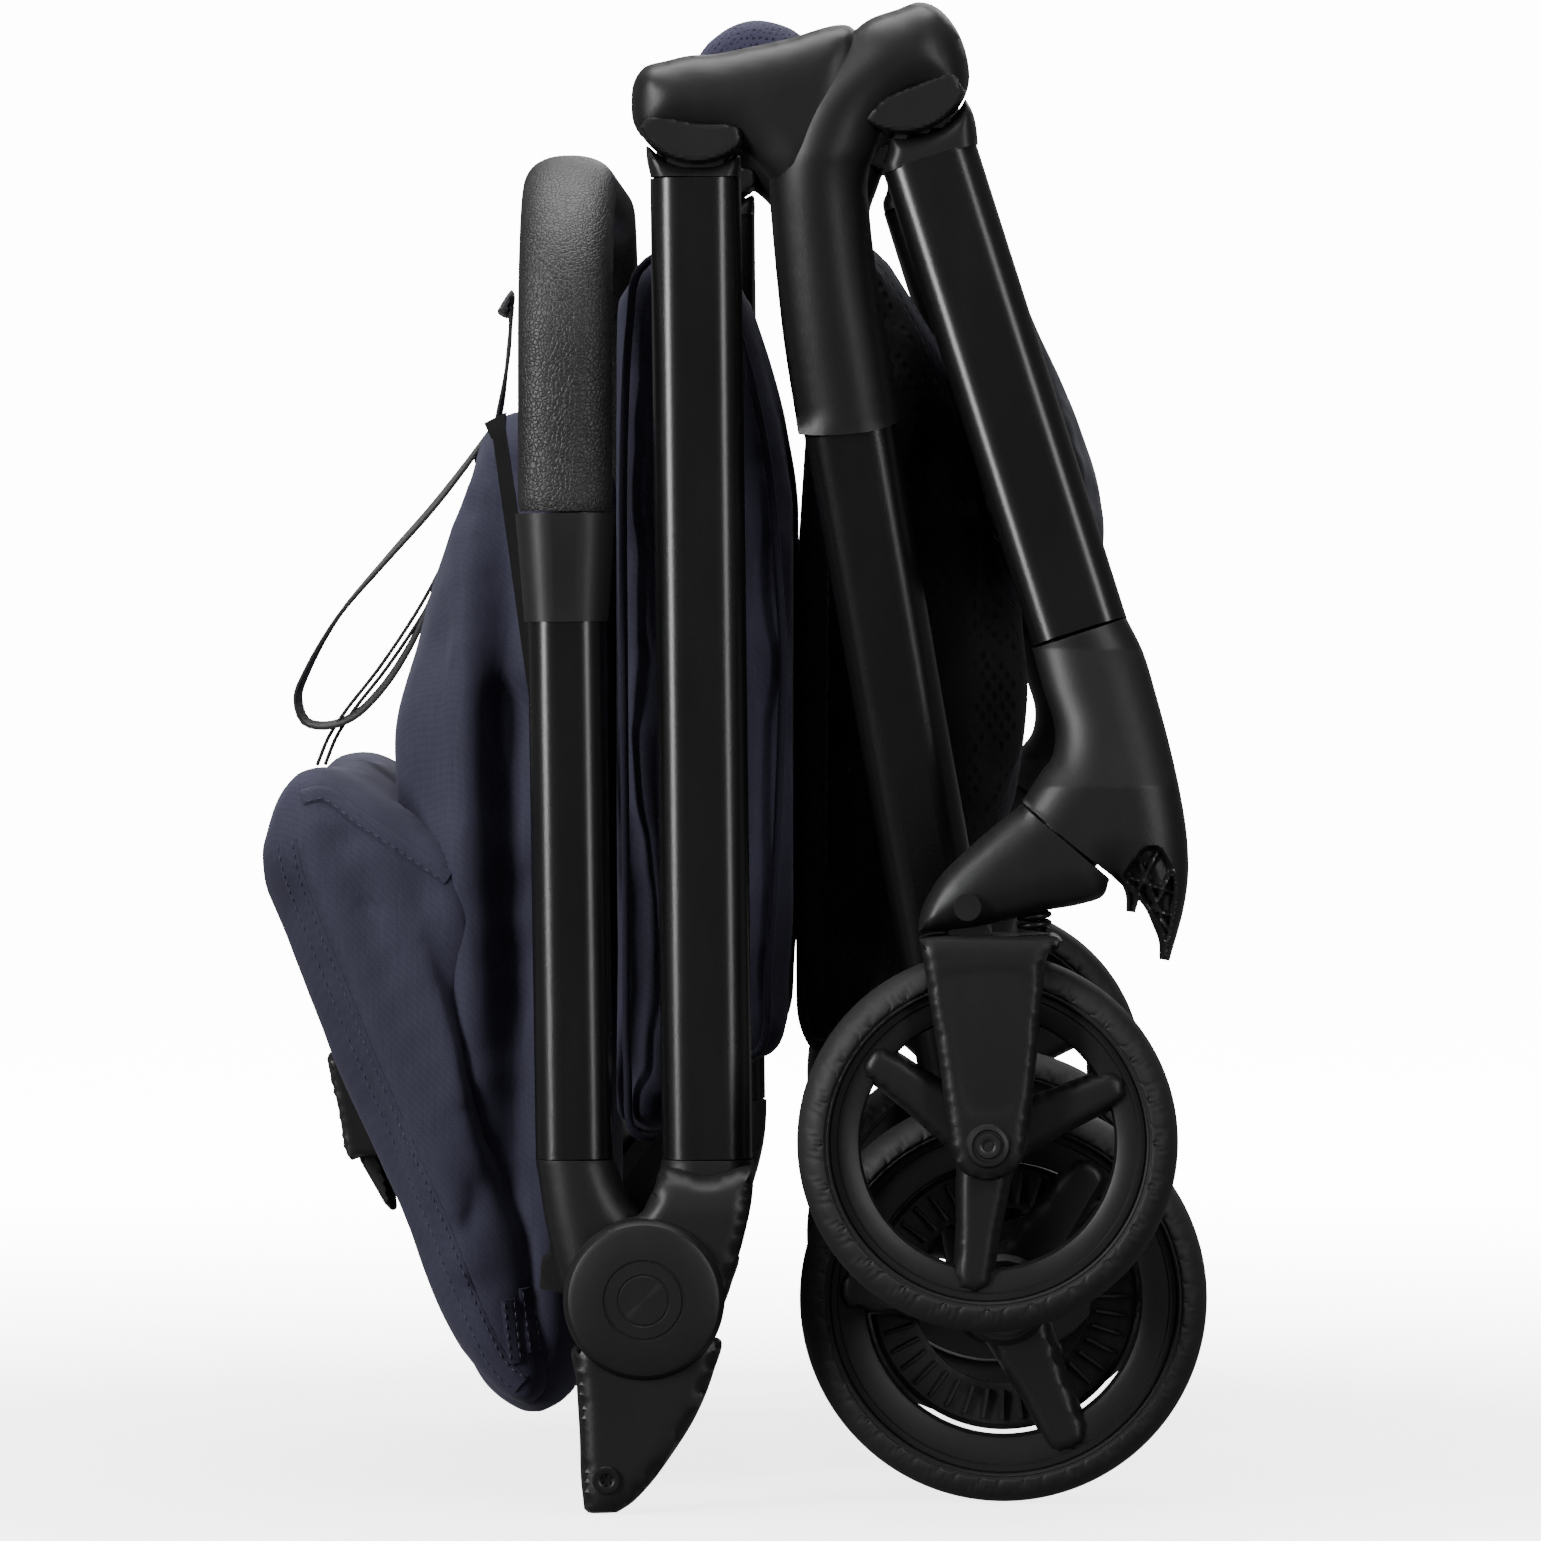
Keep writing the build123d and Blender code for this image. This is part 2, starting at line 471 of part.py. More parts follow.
# Suspension spring, as its closed envelope.
with BuildPart() as spring_right:
    with BuildSketch(Plane(origin=(112.0, -Y_FRONT, 214.5), x_dir=(1, 0, 0), z_dir=(0, 0, 1))) as sp:
        Circle(6.5)
        Circle(3.5, mode=Mode.SUBTRACT)
    extrude(sp.sketch, amount=16.2)
done(spring_right, "suspension_spring_right")
with BuildPart() as spring_left:
    mirror(spring_right.part, about=Plane.XZ)
done(spring_left, "suspension_spring_left")
with BuildPart() as front_axle_right:
    disc(FRONT_HUB, 4.0, Y_FRONT - 22.0, Y_FRONT + 22.0)
    disc(FRONT_HUB, 8.2, Y_FRONT + 22.1, Y_FRONT + 24.0)
    disc(FRONT_HUB, 4.0, Y_FRONT + 21.9, Y_FRONT + 22.2)
done(front_axle_right, "front_axle_right")
with BuildPart() as front_axle_left:
    mirror(front_axle_right.part, about=Plane.XZ)
done(front_axle_left, "front_axle_left")

with BuildPart() as front_tyre_right:
    tyre(FRONT_HUB, R_FRONT, W_FRONT, Y_FRONT, 11.5)
done(front_tyre_right, "front_tyre_right")
with BuildPart() as front_tyre_left:
    mirror(front_tyre_right.part, about=Plane.XZ)
done(front_tyre_left, "front_tyre_left")
with BuildPart() as front_rim_right:
    spoked(FRONT_HUB, R_FRONT - 11.5, 46.5, 13.0, 15.0, Y_FRONT, (24, 144, 264), (20, 14), 25.0, 4.06)
done(front_rim_right, "front_rim_right")
with BuildPart() as front_rim_left:
    mirror(front_rim_right.part, about=Plane.XZ)
done(front_rim_left, "front_rim_left")

# ================= canopy =================
# Collapsed canopy, gathered between the handle tubes, hollow towards the back.
CANOPY = [(-81.9, 408.0), (-93.8, 380.9), (-104.3, 347.3), (-114.4, 317.5), (-119.2, 292.0), (-140, 283), (-157.3, 270.8), (-172.2, 261.5),
          (-177.6, 238.3), (-166.6, 218.5), (-146.1, 164.4), (-120.0, 104.7), (-104, 66), (-93.8, 43.1), (-82, 33), (-69.5, 30.0),
          (-58.3, 39.3), (-54, 60), (-52, 78), (-52, 150), (-50, 250), (-50, 340), (-62, 400)]
with BuildPart() as canopy:
    plate(CANOPY, -146.0, 146.0)
done(canopy, "canopy")
with BuildPart() as canopy_bows:
    plate([(-66.5, 80.5), (-58.5, 80.5), (-58, 86.5), (-60.0, 240.0), (-84, 400), (-89, 399), (-67.0, 240), (-67.6, 86.5)], 153.0, 158.5)
    disc(CANOPY_PIVOT, 8.0, 152.5, 161.5)
    disc(CANOPY_PIVOT, 4.05, 150.0, 172.0, mode=Mode.SUBTRACT)
    plate([(-84.3, 399), (-84, 406), (-92, 402), (-89, 396)], 146.3, 158.5)
    plate([(-60.6, 234.0), (-60.0, 244.0), (-67.0, 244), (-67.0, 234)], 146.3, 158.5)
    mirror(about=Plane.XZ)
done(canopy_bows, "canopy_bow_arms")

# Carry strap: a webbing loop hanging out behind the canopy, and its adjuster.
with BuildPart() as carry_strap:
    plate([(-96, 405), (-119, 374), (-157, 330), (-170, 307), (-172.5, 297.4), (-167, 285), (-155, 286), (-141, 298.5), (-129, 316), (-127, 318.5),
           (-142, 303), (-156, 290), (-165.5, 289.5), (-169.0, 297.4), (-166.5, 306), (-154, 328), (-116, 372), (-94.5, 400)], -10.0, 10.0)
done(carry_strap, "carry_strap")
with BuildPart() as strap_adjuster:
    plate([(-95, 403), (-89, 399), (-97, 386), (-103, 390)], -14.0, 14.0)
done(strap_adjuster, "strap_adjuster")
with BuildPart() as harness_buckle:
    plate([(-160.5, 157.0), (-155.5, 161.0), (-149.5, 121.0), (-133, 98), (-137.5, 96.5), (-152, 117)], -22.0, 22.0)
    plate([(-170, 150), (-152, 150), (-150, 138), (-170, 138)], -9.1, 9.1, mode=Mode.SUBTRACT)
done(harness_buckle, "harness_buckle")
with BuildPart() as buckle_button:
    plate([(-158.2, 149.6), (-156.4, 149.6), (-154.8, 138.6), (-155.9, 138.6)], -8.9, 8.9)
done(buckle_button, "buckle_button")
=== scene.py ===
import bpy, bmesh, json, math
import numpy as np
from mathutils import Vector, Matrix, noise
from mathutils.geometry import delaunay_2d_cdt


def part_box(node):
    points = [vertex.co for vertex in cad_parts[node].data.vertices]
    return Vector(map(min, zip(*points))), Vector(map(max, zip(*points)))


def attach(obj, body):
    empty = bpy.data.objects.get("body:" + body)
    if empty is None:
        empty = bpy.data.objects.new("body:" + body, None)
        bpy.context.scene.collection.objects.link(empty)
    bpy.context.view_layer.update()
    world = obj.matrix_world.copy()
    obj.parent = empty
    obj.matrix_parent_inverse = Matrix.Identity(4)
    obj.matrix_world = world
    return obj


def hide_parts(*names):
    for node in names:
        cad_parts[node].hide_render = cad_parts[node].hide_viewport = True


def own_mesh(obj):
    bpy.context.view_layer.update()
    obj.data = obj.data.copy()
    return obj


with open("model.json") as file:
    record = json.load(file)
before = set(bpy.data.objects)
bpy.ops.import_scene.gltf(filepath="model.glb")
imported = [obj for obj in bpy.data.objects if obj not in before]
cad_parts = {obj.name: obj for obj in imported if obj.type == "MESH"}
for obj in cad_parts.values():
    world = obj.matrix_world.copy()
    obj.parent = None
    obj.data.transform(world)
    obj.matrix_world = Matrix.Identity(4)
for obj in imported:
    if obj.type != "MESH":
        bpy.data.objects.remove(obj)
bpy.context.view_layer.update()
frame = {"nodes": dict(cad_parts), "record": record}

N = frame["nodes"]

# ------------------------------------------------------------------ materials
def new_mat(name):
    m = bpy.data.materials.new(name)
    m.use_nodes = True
    nt = m.node_tree
    return m, nt, nt.nodes["Principled BSDF"]


def link(nt, a, b):
    nt.links.new(a, b)


def coords(nt, scale=(1, 1, 1), rot=(0, 0, 0)):
    t = nt.nodes.new("ShaderNodeTexCoord")
    m = nt.nodes.new("ShaderNodeMapping")
    m.inputs["Scale"].default_value = scale
    m.inputs["Rotation"].default_value = rot
    link(nt, t.outputs["Object"], m.inputs["Vector"])
    return m.outputs["Vector"]


def tex_noise(nt, vec, scale, detail=4, rough=0.55):
    n = nt.nodes.new("ShaderNodeTexNoise")
    n.inputs["Scale"].default_value = scale
    n.inputs["Detail"].default_value = detail
    n.inputs["Roughness"].default_value = rough
    link(nt, vec, n.inputs["Vector"])
    return n.outputs["Fac"]


def math_node(nt, op, a, b=None, c=None):
    n = nt.nodes.new("ShaderNodeMath")
    n.operation = op
    for i, v in enumerate((a, b, c)):
        if v is None:
            continue
        if isinstance(v, (int, float)):
            n.inputs[i].default_value = v
        else:
            link(nt, v, n.inputs[i])
    return n.outputs[0]


def ramp(nt, fac, stops):
    n = nt.nodes.new("ShaderNodeValToRGB")
    e = n.color_ramp.elements
    while len(e) < len(stops):
        e.new(0.5)
    for s, (p, c) in zip(e, stops):
        s.position = p
        s.color = (c[0], c[1], c[2], 1)
    link(nt, fac, n.inputs["Fac"])
    return n.outputs["Color"]


def bump(nt, bsdf, height, strength, distance, prev=None):
    b = nt.nodes.new("ShaderNodeBump")
    b.inputs["Strength"].default_value = strength
    b.inputs["Distance"].default_value = distance
    link(nt, height, b.inputs["Height"])
    if prev is not None:
        link(nt, prev, b.inputs["Normal"])
    if bsdf is not None:
        link(nt, b.outputs["Normal"], bsdf.inputs["Normal"])
    return b.outputs["Normal"]


def rough_from(nt, bsdf, fac, lo, hi):
    n = nt.nodes.new("ShaderNodeMapRange")
    n.inputs["To Min"].default_value = lo
    n.inputs["To Max"].default_value = hi
    link(nt, fac, n.inputs["Value"])
    link(nt, n.outputs["Result"], bsdf.inputs["Roughness"])


def hard(name, col, lo, hi, grain=2600, strength=0.25, dist=0.00006, spec=0.5, metallic=0.0, wear=0.5):
    """Moulded or coated hard surface: fine grain, faint handling marks and paler edges."""
    m, nt, b = new_mat(name)
    v = coords(nt)
    big = tex_noise(nt, v, 9, 5, 0.6)
    fine = tex_noise(nt, v, grain, 2, 0.5)
    smear = tex_noise(nt, coords(nt, (60, 60, 14)), 1.0, 4, 0.6)
    edge = nt.nodes.new("ShaderNodeNewGeometry").outputs["Pointiness"]
    edge = math_node(nt, "MULTIPLY", math_node(nt, "MAXIMUM", math_node(nt, "SUBTRACT", edge, 0.53), 0.0), 6.0 * wear)
    tone = math_node(nt, "ADD", math_node(nt, "MULTIPLY", big, 0.5), math_node(nt, "MULTIPLY", smear, 0.3))
    tone = math_node(nt, "ADD", tone, edge)
    c = ramp(nt, tone, [(0.15, [x * 0.78 for x in col]), (0.45, col), (0.8, [x * 1.5 + 0.003 for x in col])])
    link(nt, c, b.inputs["Base Color"])
    rough_from(nt, b, math_node(nt, "ADD", math_node(nt, "MULTIPLY", smear, 0.6), math_node(nt, "MULTIPLY", big, 0.4)), lo, hi)
    b.inputs["Metallic"].default_value = metallic
    b.inputs["Specular IOR Level"].default_value = spec
    bump(nt, b, fine, strength, dist)
    return m


M = {}
M["plastic"] = hard("moulded_plastic", (0.0085, 0.0085, 0.0088), 0.36, 0.48, 2600, 0.45, 0.00008, 0.34)
M["satin"] = hard("satin_plastic", (0.011, 0.011, 0.012), 0.34, 0.46, 1800, 0.2, 0.00005, 0.45)
M["tube"] = hard("black_tube", (0.0026, 0.0026, 0.0028), 0.23, 0.31, 5200, 0.35, 0.00004, 0.5, 0.0, 0.3)
M["steel"] = hard("black_steel", (0.014, 0.014, 0.015), 0.28, 0.40, 3000, 0.2, 0.00003, 0.5, 0.5, 0.8)
M["tyre"] = hard("tyre_rubber", (0.0125, 0.0125, 0.0130), 0.54, 0.70, 1500, 0.5, 0.00010, 0.35, 0.0, 0.3)
# A darker copy of the moulded plastic for recessed and hidden faces: painted shade.
M["inner"] = hard("inner_plastic_painted_shade", (0.0035, 0.0035, 0.0037), 0.55, 0.7, 2000, 0.3, 0.00006, 0.18)


def leather():
    m, nt, b = new_mat("grip_leather")
    v = coords(nt)
    vo = nt.nodes.new("ShaderNodeTexVoronoi")
    vo.feature = "DISTANCE_TO_EDGE"
    vo.inputs["Scale"].default_value = 620
    wob = nt.nodes.new("ShaderNodeVectorMath")
    wob.operation = "ADD"
    nz = nt.nodes.new("ShaderNodeTexNoise")
    nz.inputs["Scale"].default_value = 240
    link(nt, v, nz.inputs["Vector"])
    sc = nt.nodes.new("ShaderNodeVectorMath")
    sc.operation = "SCALE"
    sc.inputs["Scale"].default_value = 0.0018
    link(nt, nz.outputs["Color"], sc.inputs[0])
    link(nt, v, wob.inputs[0])
    link(nt, sc.outputs[0], wob.inputs[1])
    link(nt, wob.outputs[0], vo.inputs["Vector"])
    pebble_and_valley_shade = ramp(nt, vo.outputs["Distance"], [(0.0, (0, 0, 0)), (0.16, (0.75, 0.75, 0.75)), (0.5, (1, 1, 1))])
    fine = tex_noise(nt, v, 1900, 3)
    big = tex_noise(nt, v, 18, 4)
    col = ramp(nt, big, [(0.3, (0.010, 0.010, 0.011)), (0.7, (0.017, 0.017, 0.018))])
    # The pebble mask also darkens the base colour in the valleys between pebbles: painted shade in the grain's
    # recesses.
    mix = nt.nodes.new("ShaderNodeMixRGB")
    mix.blend_type = "MULTIPLY"
    mix.inputs["Fac"].default_value = 0.55
    link(nt, col, mix.inputs[1])
    link(nt, pebble_and_valley_shade, mix.inputs[2])
    link(nt, mix.outputs[0], b.inputs["Base Color"])
    rough_from(nt, b, big, 0.40, 0.56)
    b.inputs["Specular IOR Level"].default_value = 0.5
    p = bump(nt, None, pebble_and_valley_shade, 0.75, 0.00022)
    bump(nt, b, fine, 0.25, 0.00005, p)
    return m


def woven(name, col, pitch, sheen, twill=True, rough=(0.72, 0.86)):
    """Woven cloth: diagonal twill ribs of warp over weft, slubs and a soft sheen."""
    m, nt, b = new_mat(name)
    v = coords(nt)
    w1 = nt.nodes.new("ShaderNodeTexWave")
    w1.bands_direction = "DIAGONAL"
    w1.inputs["Scale"].default_value = 0.5 / pitch / 3.2
    w1.inputs["Distortion"].default_value = 0.6
    w1.inputs["Detail"].default_value = 2
    link(nt, v, w1.inputs["Vector"])
    w2 = nt.nodes.new("ShaderNodeTexWave")
    w2.bands_direction = "Z"
    w2.inputs["Scale"].default_value = 0.5 / pitch / 3.0
    w2.inputs["Distortion"].default_value = 0.8
    link(nt, v, w2.inputs["Vector"])
    w3 = nt.nodes.new("ShaderNodeTexWave")
    w3.bands_direction = "X" if not twill else "Y"
    w3.inputs["Scale"].default_value = 0.5 / pitch / 3.0
    w3.inputs["Distortion"].default_value = 0.8
    link(nt, v, w3.inputs["Vector"])
    weave = math_node(nt, "ADD", math_node(nt, "MULTIPLY", w1.outputs["Fac"], 0.55), math_node(nt, "MULTIPLY", math_node(nt, "MULTIPLY", w2.outputs["Fac"], w3.outputs["Fac"]), 0.45))
    slub = tex_noise(nt, coords(nt, (900, 900, 60)), 1.0, 3)
    big = tex_noise(nt, v, 14, 5, 0.6)
    tone = math_node(nt, "ADD", math_node(nt, "MULTIPLY", weave, 0.16), math_node(nt, "ADD", math_node(nt, "MULTIPLY", slub, 0.42), math_node(nt, "MULTIPLY", big, 0.42)))
    c = ramp(nt, tone, [(0.25, [x * 0.75 for x in col]), (0.5, col), (0.8, [x * 1.35 for x in col])])
    link(nt, c, b.inputs["Base Color"])
    rough_from(nt, b, big, *rough)
    b.inputs["Specular IOR Level"].default_value = 0.22
    b.inputs["Sheen Weight"].default_value = sheen
    b.inputs["Sheen Roughness"].default_value = 0.42
    b.inputs["Sheen Tint"].default_value = (0.70, 0.70, 0.85, 1)
    p = bump(nt, None, weave, 0.30, 0.00012)
    bump(nt, b, tex_noise(nt, v, 160, 4), 0.25, 0.0006, p)
    return m


def mesh_cloth(name, col, opening_shade_col, pitch, sheen):
    """Knitted spacer mesh: rows of small openings between raised loops; their dark colour is painted shade inside the
    openings.
    """
    m, nt, b = new_mat(name)
    v = coords(nt)
    vo = nt.nodes.new("ShaderNodeTexVoronoi")
    vo.inputs["Scale"].default_value = 1.0 / pitch
    vo.inputs["Randomness"].default_value = 0.22
    mp = coords(nt, (1, 1, 0.62), (0, 0.785, 0))
    link(nt, mp, vo.inputs["Vector"])
    cell = ramp(nt, vo.outputs["Distance"], [(0.18, (0, 0, 0)), (0.42, (1, 1, 1))])
    big = tex_noise(nt, v, 16, 4)
    c = ramp(nt, big, [(0.3, [x * 0.8 for x in col]), (0.7, [x * 1.25 for x in col])])
    mix = nt.nodes.new("ShaderNodeMixRGB")
    link(nt, cell, mix.inputs["Fac"])
    mix.inputs[1].default_value = (opening_shade_col[0], opening_shade_col[1], opening_shade_col[2], 1)
    link(nt, c, mix.inputs[2])
    link(nt, mix.outputs[0], b.inputs["Base Color"])
    rough_from(nt, b, big, 0.75, 0.9)
    b.inputs["Specular IOR Level"].default_value = 0.2
    b.inputs["Sheen Weight"].default_value = sheen
    b.inputs["Sheen Roughness"].default_value = 0.4
    b.inputs["Sheen Tint"].default_value = (0.6, 0.6, 0.8, 1)
    p = bump(nt, None, cell, 0.9, 0.0004)
    bump(nt, b, tex_noise(nt, v, 1400, 3), 0.3, 0.0001, p)
    return m


def webbing():
    m, nt, b = new_mat("webbing")
    v = coords(nt)
    w = nt.nodes.new("ShaderNodeTexWave")
    w.bands_direction = "Z"
    w.inputs["Scale"].default_value = 260
    w.inputs["Distortion"].default_value = 0.4
    link(nt, v, w.inputs["Vector"])
    ny = nt.nodes.new("ShaderNodeTexWave")
    ny.bands_direction = "Y"
    ny.inputs["Scale"].default_value = 330
    link(nt, v, ny.inputs["Vector"])
    s = math_node(nt, "MULTIPLY", w.outputs["Fac"], ny.outputs["Fac"])
    c = ramp(nt, s, [(0.0, (0.004, 0.004, 0.005)), (1.0, (0.016, 0.016, 0.019))])
    link(nt, c, b.inputs["Base Color"])
    rough_from(nt, b, tex_noise(nt, v, 60, 3), 0.6, 0.78)
    b.inputs["Sheen Weight"].default_value = 0.15
    bump(nt, b, s, 0.7, 0.00025)
    return m


M["leather"] = leather()
M["navy"] = woven("navy_fabric", (0.0300, 0.0292, 0.0500), 0.00075, 0.10)
M["navy_dark"] = woven("navy_binding", (0.0180, 0.0168, 0.0320), 0.0008, 0.10)
# The third colour of each mesh cloth is the painted shade inside its openings.
M["pad"] = mesh_cloth("navy_spacer_mesh", (0.026, 0.024, 0.048), (0.006, 0.0055, 0.014), 0.0017, 0.2)
M["black_mesh"] = mesh_cloth("black_knit_mesh", (0.0085, 0.0085, 0.0095), (0.0018, 0.0018, 0.002), 0.0034, 0.08)
M["black_cloth"] = woven("black_cloth", (0.0085, 0.0085, 0.0098), 0.0010, 0.10)
M["webbing"] = webbing()
th, nt, b = new_mat("stitch_thread")
b.inputs["Base Color"].default_value = (0.03, 0.029, 0.055, 1)
link(nt, ramp(nt, tex_noise(nt, coords(nt), 1500, 2), [(0.3, (0.016, 0.015, 0.03)), (0.7, (0.05, 0.047, 0.085))]), b.inputs["Base Color"])
b.inputs["Roughness"].default_value = 0.7
M["thread"] = th


# ------------------------------------------------------------------ mesh tools
def obj_from(name, verts, faces, mat, smooth=True, sharp=None):
    me = bpy.data.meshes.new(name)
    me.from_pydata([tuple(map(float, v)) for v in verts], [], [tuple(int(i) for i in f) for f in faces])
    me.validate()
    bm = bmesh.new()
    bm.from_mesh(me)
    bmesh.ops.remove_doubles(bm, verts=bm.verts, dist=1e-6)
    bmesh.ops.dissolve_degenerate(bm, edges=bm.edges, dist=1e-7)
    bmesh.ops.recalc_face_normals(bm, faces=bm.faces)
    if sharp is not None:
        for e in bm.edges:
            if len(e.link_faces) == 2 and e.calc_face_angle(0) > math.radians(sharp):
                e.smooth = False
    for f in bm.faces:
        f.smooth = smooth
    bm.to_mesh(me)
    bm.free()
    o = bpy.data.objects.new(name, me)
    bpy.context.scene.collection.objects.link(o)
    if mat is not None:
        me.materials.append(mat)
    return o


def apply_all(o):
    """Replaces o's mesh by its evaluated one and clears its modifiers."""
    dg = bpy.context.evaluated_depsgraph_get()
    me = bpy.data.meshes.new_from_object(o.evaluated_get(dg))
    old = o.data
    o.modifiers.clear()
    o.data = me
    bpy.data.meshes.remove(old)
    for p in o.data.polygons:
        p.use_smooth = True
    return o


def points_of(o):
    co = np.zeros(len(o.data.vertices) * 3)
    o.data.vertices.foreach_get("co", co)
    return co.reshape(-1, 3)


def normals_of(o):
    n = np.zeros(len(o.data.vertices) * 3)
    o.data.vertices.foreach_get("normal", n)
    return n.reshape(-1, 3)


def set_points(o, co):
    o.data.vertices.foreach_set("co", np.ascontiguousarray(co, dtype=np.float32).ravel())
    o.data.update()


def flip(o, name, mat=True):
    """A copy mirrored to the other side of the middle plane."""
    me = o.data.copy()
    me.name = name
    me.transform(Matrix.Scale(-1, 4, (0, 1, 0)))
    me.flip_normals()
    c = bpy.data.objects.new(name, me)
    bpy.context.scene.collection.objects.link(c)
    return c


def catmull(pts, step, closed=True, corner=None):
    """A smooth line through pts, sampled about every step metres."""
    p = np.array(pts, float)
    n = len(p)
    out = []
    last = n if closed else n - 1
    corner = corner or set()
    for i in range(last):
        p0 = p[(i - 1) % n] if closed or i > 0 else 2 * p[0] - p[1]
        p1, p2 = p[i], p[(i + 1) % n]
        p3 = p[(i + 2) % n] if closed or i + 2 < n else 2 * p[-1] - p[-2]
        if i in corner:
            p0 = 2 * p1 - p2
        if (i + 1) % n in corner:
            p3 = 2 * p2 - p1
        d1 = max(np.linalg.norm(p1 - p0), 1e-9) ** 0.5
        d2 = max(np.linalg.norm(p2 - p1), 1e-9) ** 0.5
        d3 = max(np.linalg.norm(p3 - p2), 1e-9) ** 0.5
        m1 = (p1 - p0) / d1 - (p2 - p0) / (d1 + d2) + (p2 - p1) / d2
        m2 = (p2 - p1) / d2 - (p3 - p1) / (d2 + d3) + (p3 - p2) / d3
        m1, m2 = m1 * d2, m2 * d2
        k = max(1, int(round(np.linalg.norm(p2 - p1) / step)))
        for j in range(k):
            t = j / k
            out.append((2 * t**3 - 3 * t**2 + 1) * p1 + (t**3 - 2 * t**2 + t) * m1 + (-2 * t**3 + 3 * t**2) * p2 + (t**3 - t**2) * m2)
    if not closed:
        out.append(p[-1])
    return np.array(out)


def dist_to(q, a, b):
    """Distance of each point of q to the nearest of the segments a-b."""
    best = np.full(len(q), 1e9)
    for s in range(len(a)):
        d = b[s] - a[s]
        t = np.clip(((q - a[s]) @ d) / max(d @ d, 1e-18), 0, 1)
        best = np.minimum(best, np.linalg.norm(q - a[s] - t[:, None] * d, axis=1))
    return best


def inside(q, poly):
    x, z = q[:, 0], q[:, 1]
    c = np.zeros(len(q), bool)
    j = len(poly) - 1
    for i in range(len(poly)):
        xi, zi, xj, zj = *poly[i], *poly[j]
        if zi != zj:
            c ^= ((zi > z) != (zj > z)) & (x < (xj - xi) * (z - zi) / (zj - zi) + xi)
        j = i
    return c


def pillow(name, pts, mid, half, R, mat, step=0.002, power=2.0, open_z=None, lean=None, smooth_h=4, closed_curve=True,
           corner=None, relief=None, floor_h=0.0, grid=None):
    """A rounded body with the side outline pts: thick in the middle, closing to its rim over R.
    mid and half are in metres along -Y; open_z(midpoint) marks rim edges that stay full and flat."""
    rim = catmull(pts, step, True, corner) if closed_curve else np.array(pts, float)
    nxt = np.roll(rim, -1, axis=0)
    is_open = np.array([bool(open_z and open_z((a + b) / 2)) for a, b in zip(rim, nxt)])
    g = grid or step * 1.15
    lo, hi = rim.min(0), rim.max(0)
    gx, gz = np.meshgrid(np.arange(lo[0] + g / 2, hi[0], g), np.arange(lo[1] + g / 2, hi[1], g * 0.87))
    gx = gx + (np.arange(gx.shape[0])[:, None] % 2) * g / 2
    q = np.stack([gx.ravel(), gz.ravel()], 1)
    q = q[inside(q, rim)]
    q = q[dist_to(q, rim, nxt) > step * 0.45]
    allp = np.vstack([rim, q])
    n = len(rim)
    v2, _, f2, *_ = delaunay_2d_cdt([Vector(p) for p in allp], [(i, (i + 1) % n) for i in range(n)], [], 1, 1e-7)
    P = np.array([(v.x, v.y) for v in v2])
    a, b = rim[~is_open], nxt[~is_open]
    d = dist_to(P, a, b)
    h = (1 - (1 - np.clip(d / R, 0, 1)) ** power) ** (1 / power)
    F = [tuple(f) for f in f2]
    E = np.array(sorted({tuple(sorted((f[i], f[(i + 1) % len(f)]))) for f in F for i in range(len(f))}))
    pinned = d < 1e-6
    for _ in range(smooth_h):
        s, c = np.zeros(len(P)), np.zeros(len(P))
        np.add.at(s, E[:, 0], h[E[:, 1]]); np.add.at(s, E[:, 1], h[E[:, 0]])
        np.add.at(c, E[:, 0], 1); np.add.at(c, E[:, 1], 1)
        new = 0.5 * h + 0.5 * s / np.maximum(c, 1)
        keep = pinned | (d < R * 0.35)
        h = np.where(keep, h, new)
    H = floor_h + (half - floor_h) * h
    up, dn = H.copy(), H.copy()
    if relief is not None:
        up = up + relief(P)
    m = np.full(len(P), mid) if lean is None else mid - lean(P)
    front = np.stack([P[:, 0], -(m + up), P[:, 1]], 1)
    back = np.stack([P[:, 0], -(m - dn), P[:, 1]], 1)
    k = len(P)
    faces = [f for f in F] + [tuple(k + i for i in reversed(f)) for f in F]
    count = {}
    for f in F:
        for i in range(len(f)):
            e = (f[i], f[(i + 1) % len(f)])
            count.setdefault(tuple(sorted(e)), []).append(e)
    for e, uses in count.items():
        if len(uses) == 1 and (H[e[0]] > 1e-6 or H[e[1]] > 1e-6):
            i, j = uses[0]
            faces.append((j, i, k + i, k + j))
    return obj_from(name, np.vstack([front, back]), faces, mat, True, 38)


def sweep_tube(name, path, section, mat, closed=False, caps=True, up=Vector((0, 1, 0))):
    """section(t) gives a ring of (side, up) offsets in metres; path is a list of points."""
    P = np.array(path, float)
    n = len(P)
    T = np.gradient(P, axis=0)
    if closed:
        T = np.roll(P, -1, 0) - np.roll(P, 1, 0)
    T /= np.linalg.norm(T, axis=1)[:, None]
    u = np.array(up, float)
    rings = []
    for i in range(n):
        t = T[i]
        u = u - (u @ t) * t
        u /= np.linalg.norm(u)
        s = np.cross(t, u)
        rings.append([P[i] + a * s + b * u for a, b in section(i / max(n - 1, 1))])
    k = len(rings[0])
    V = [p for r in rings for p in r]
    F = []
    for i in range(n if closed else n - 1):
        j = (i + 1) % n
        for c in range(k):
            e = (c + 1) % k
            F.append((i * k + c, i * k + e, j * k + e, j * k + c))
    if caps and not closed:
        F.append(tuple(range(k - 1, -1, -1)))
        F.append(tuple((n - 1) * k + c for c in range(k)))
    return obj_from(name, V, F, mat, True, 50)


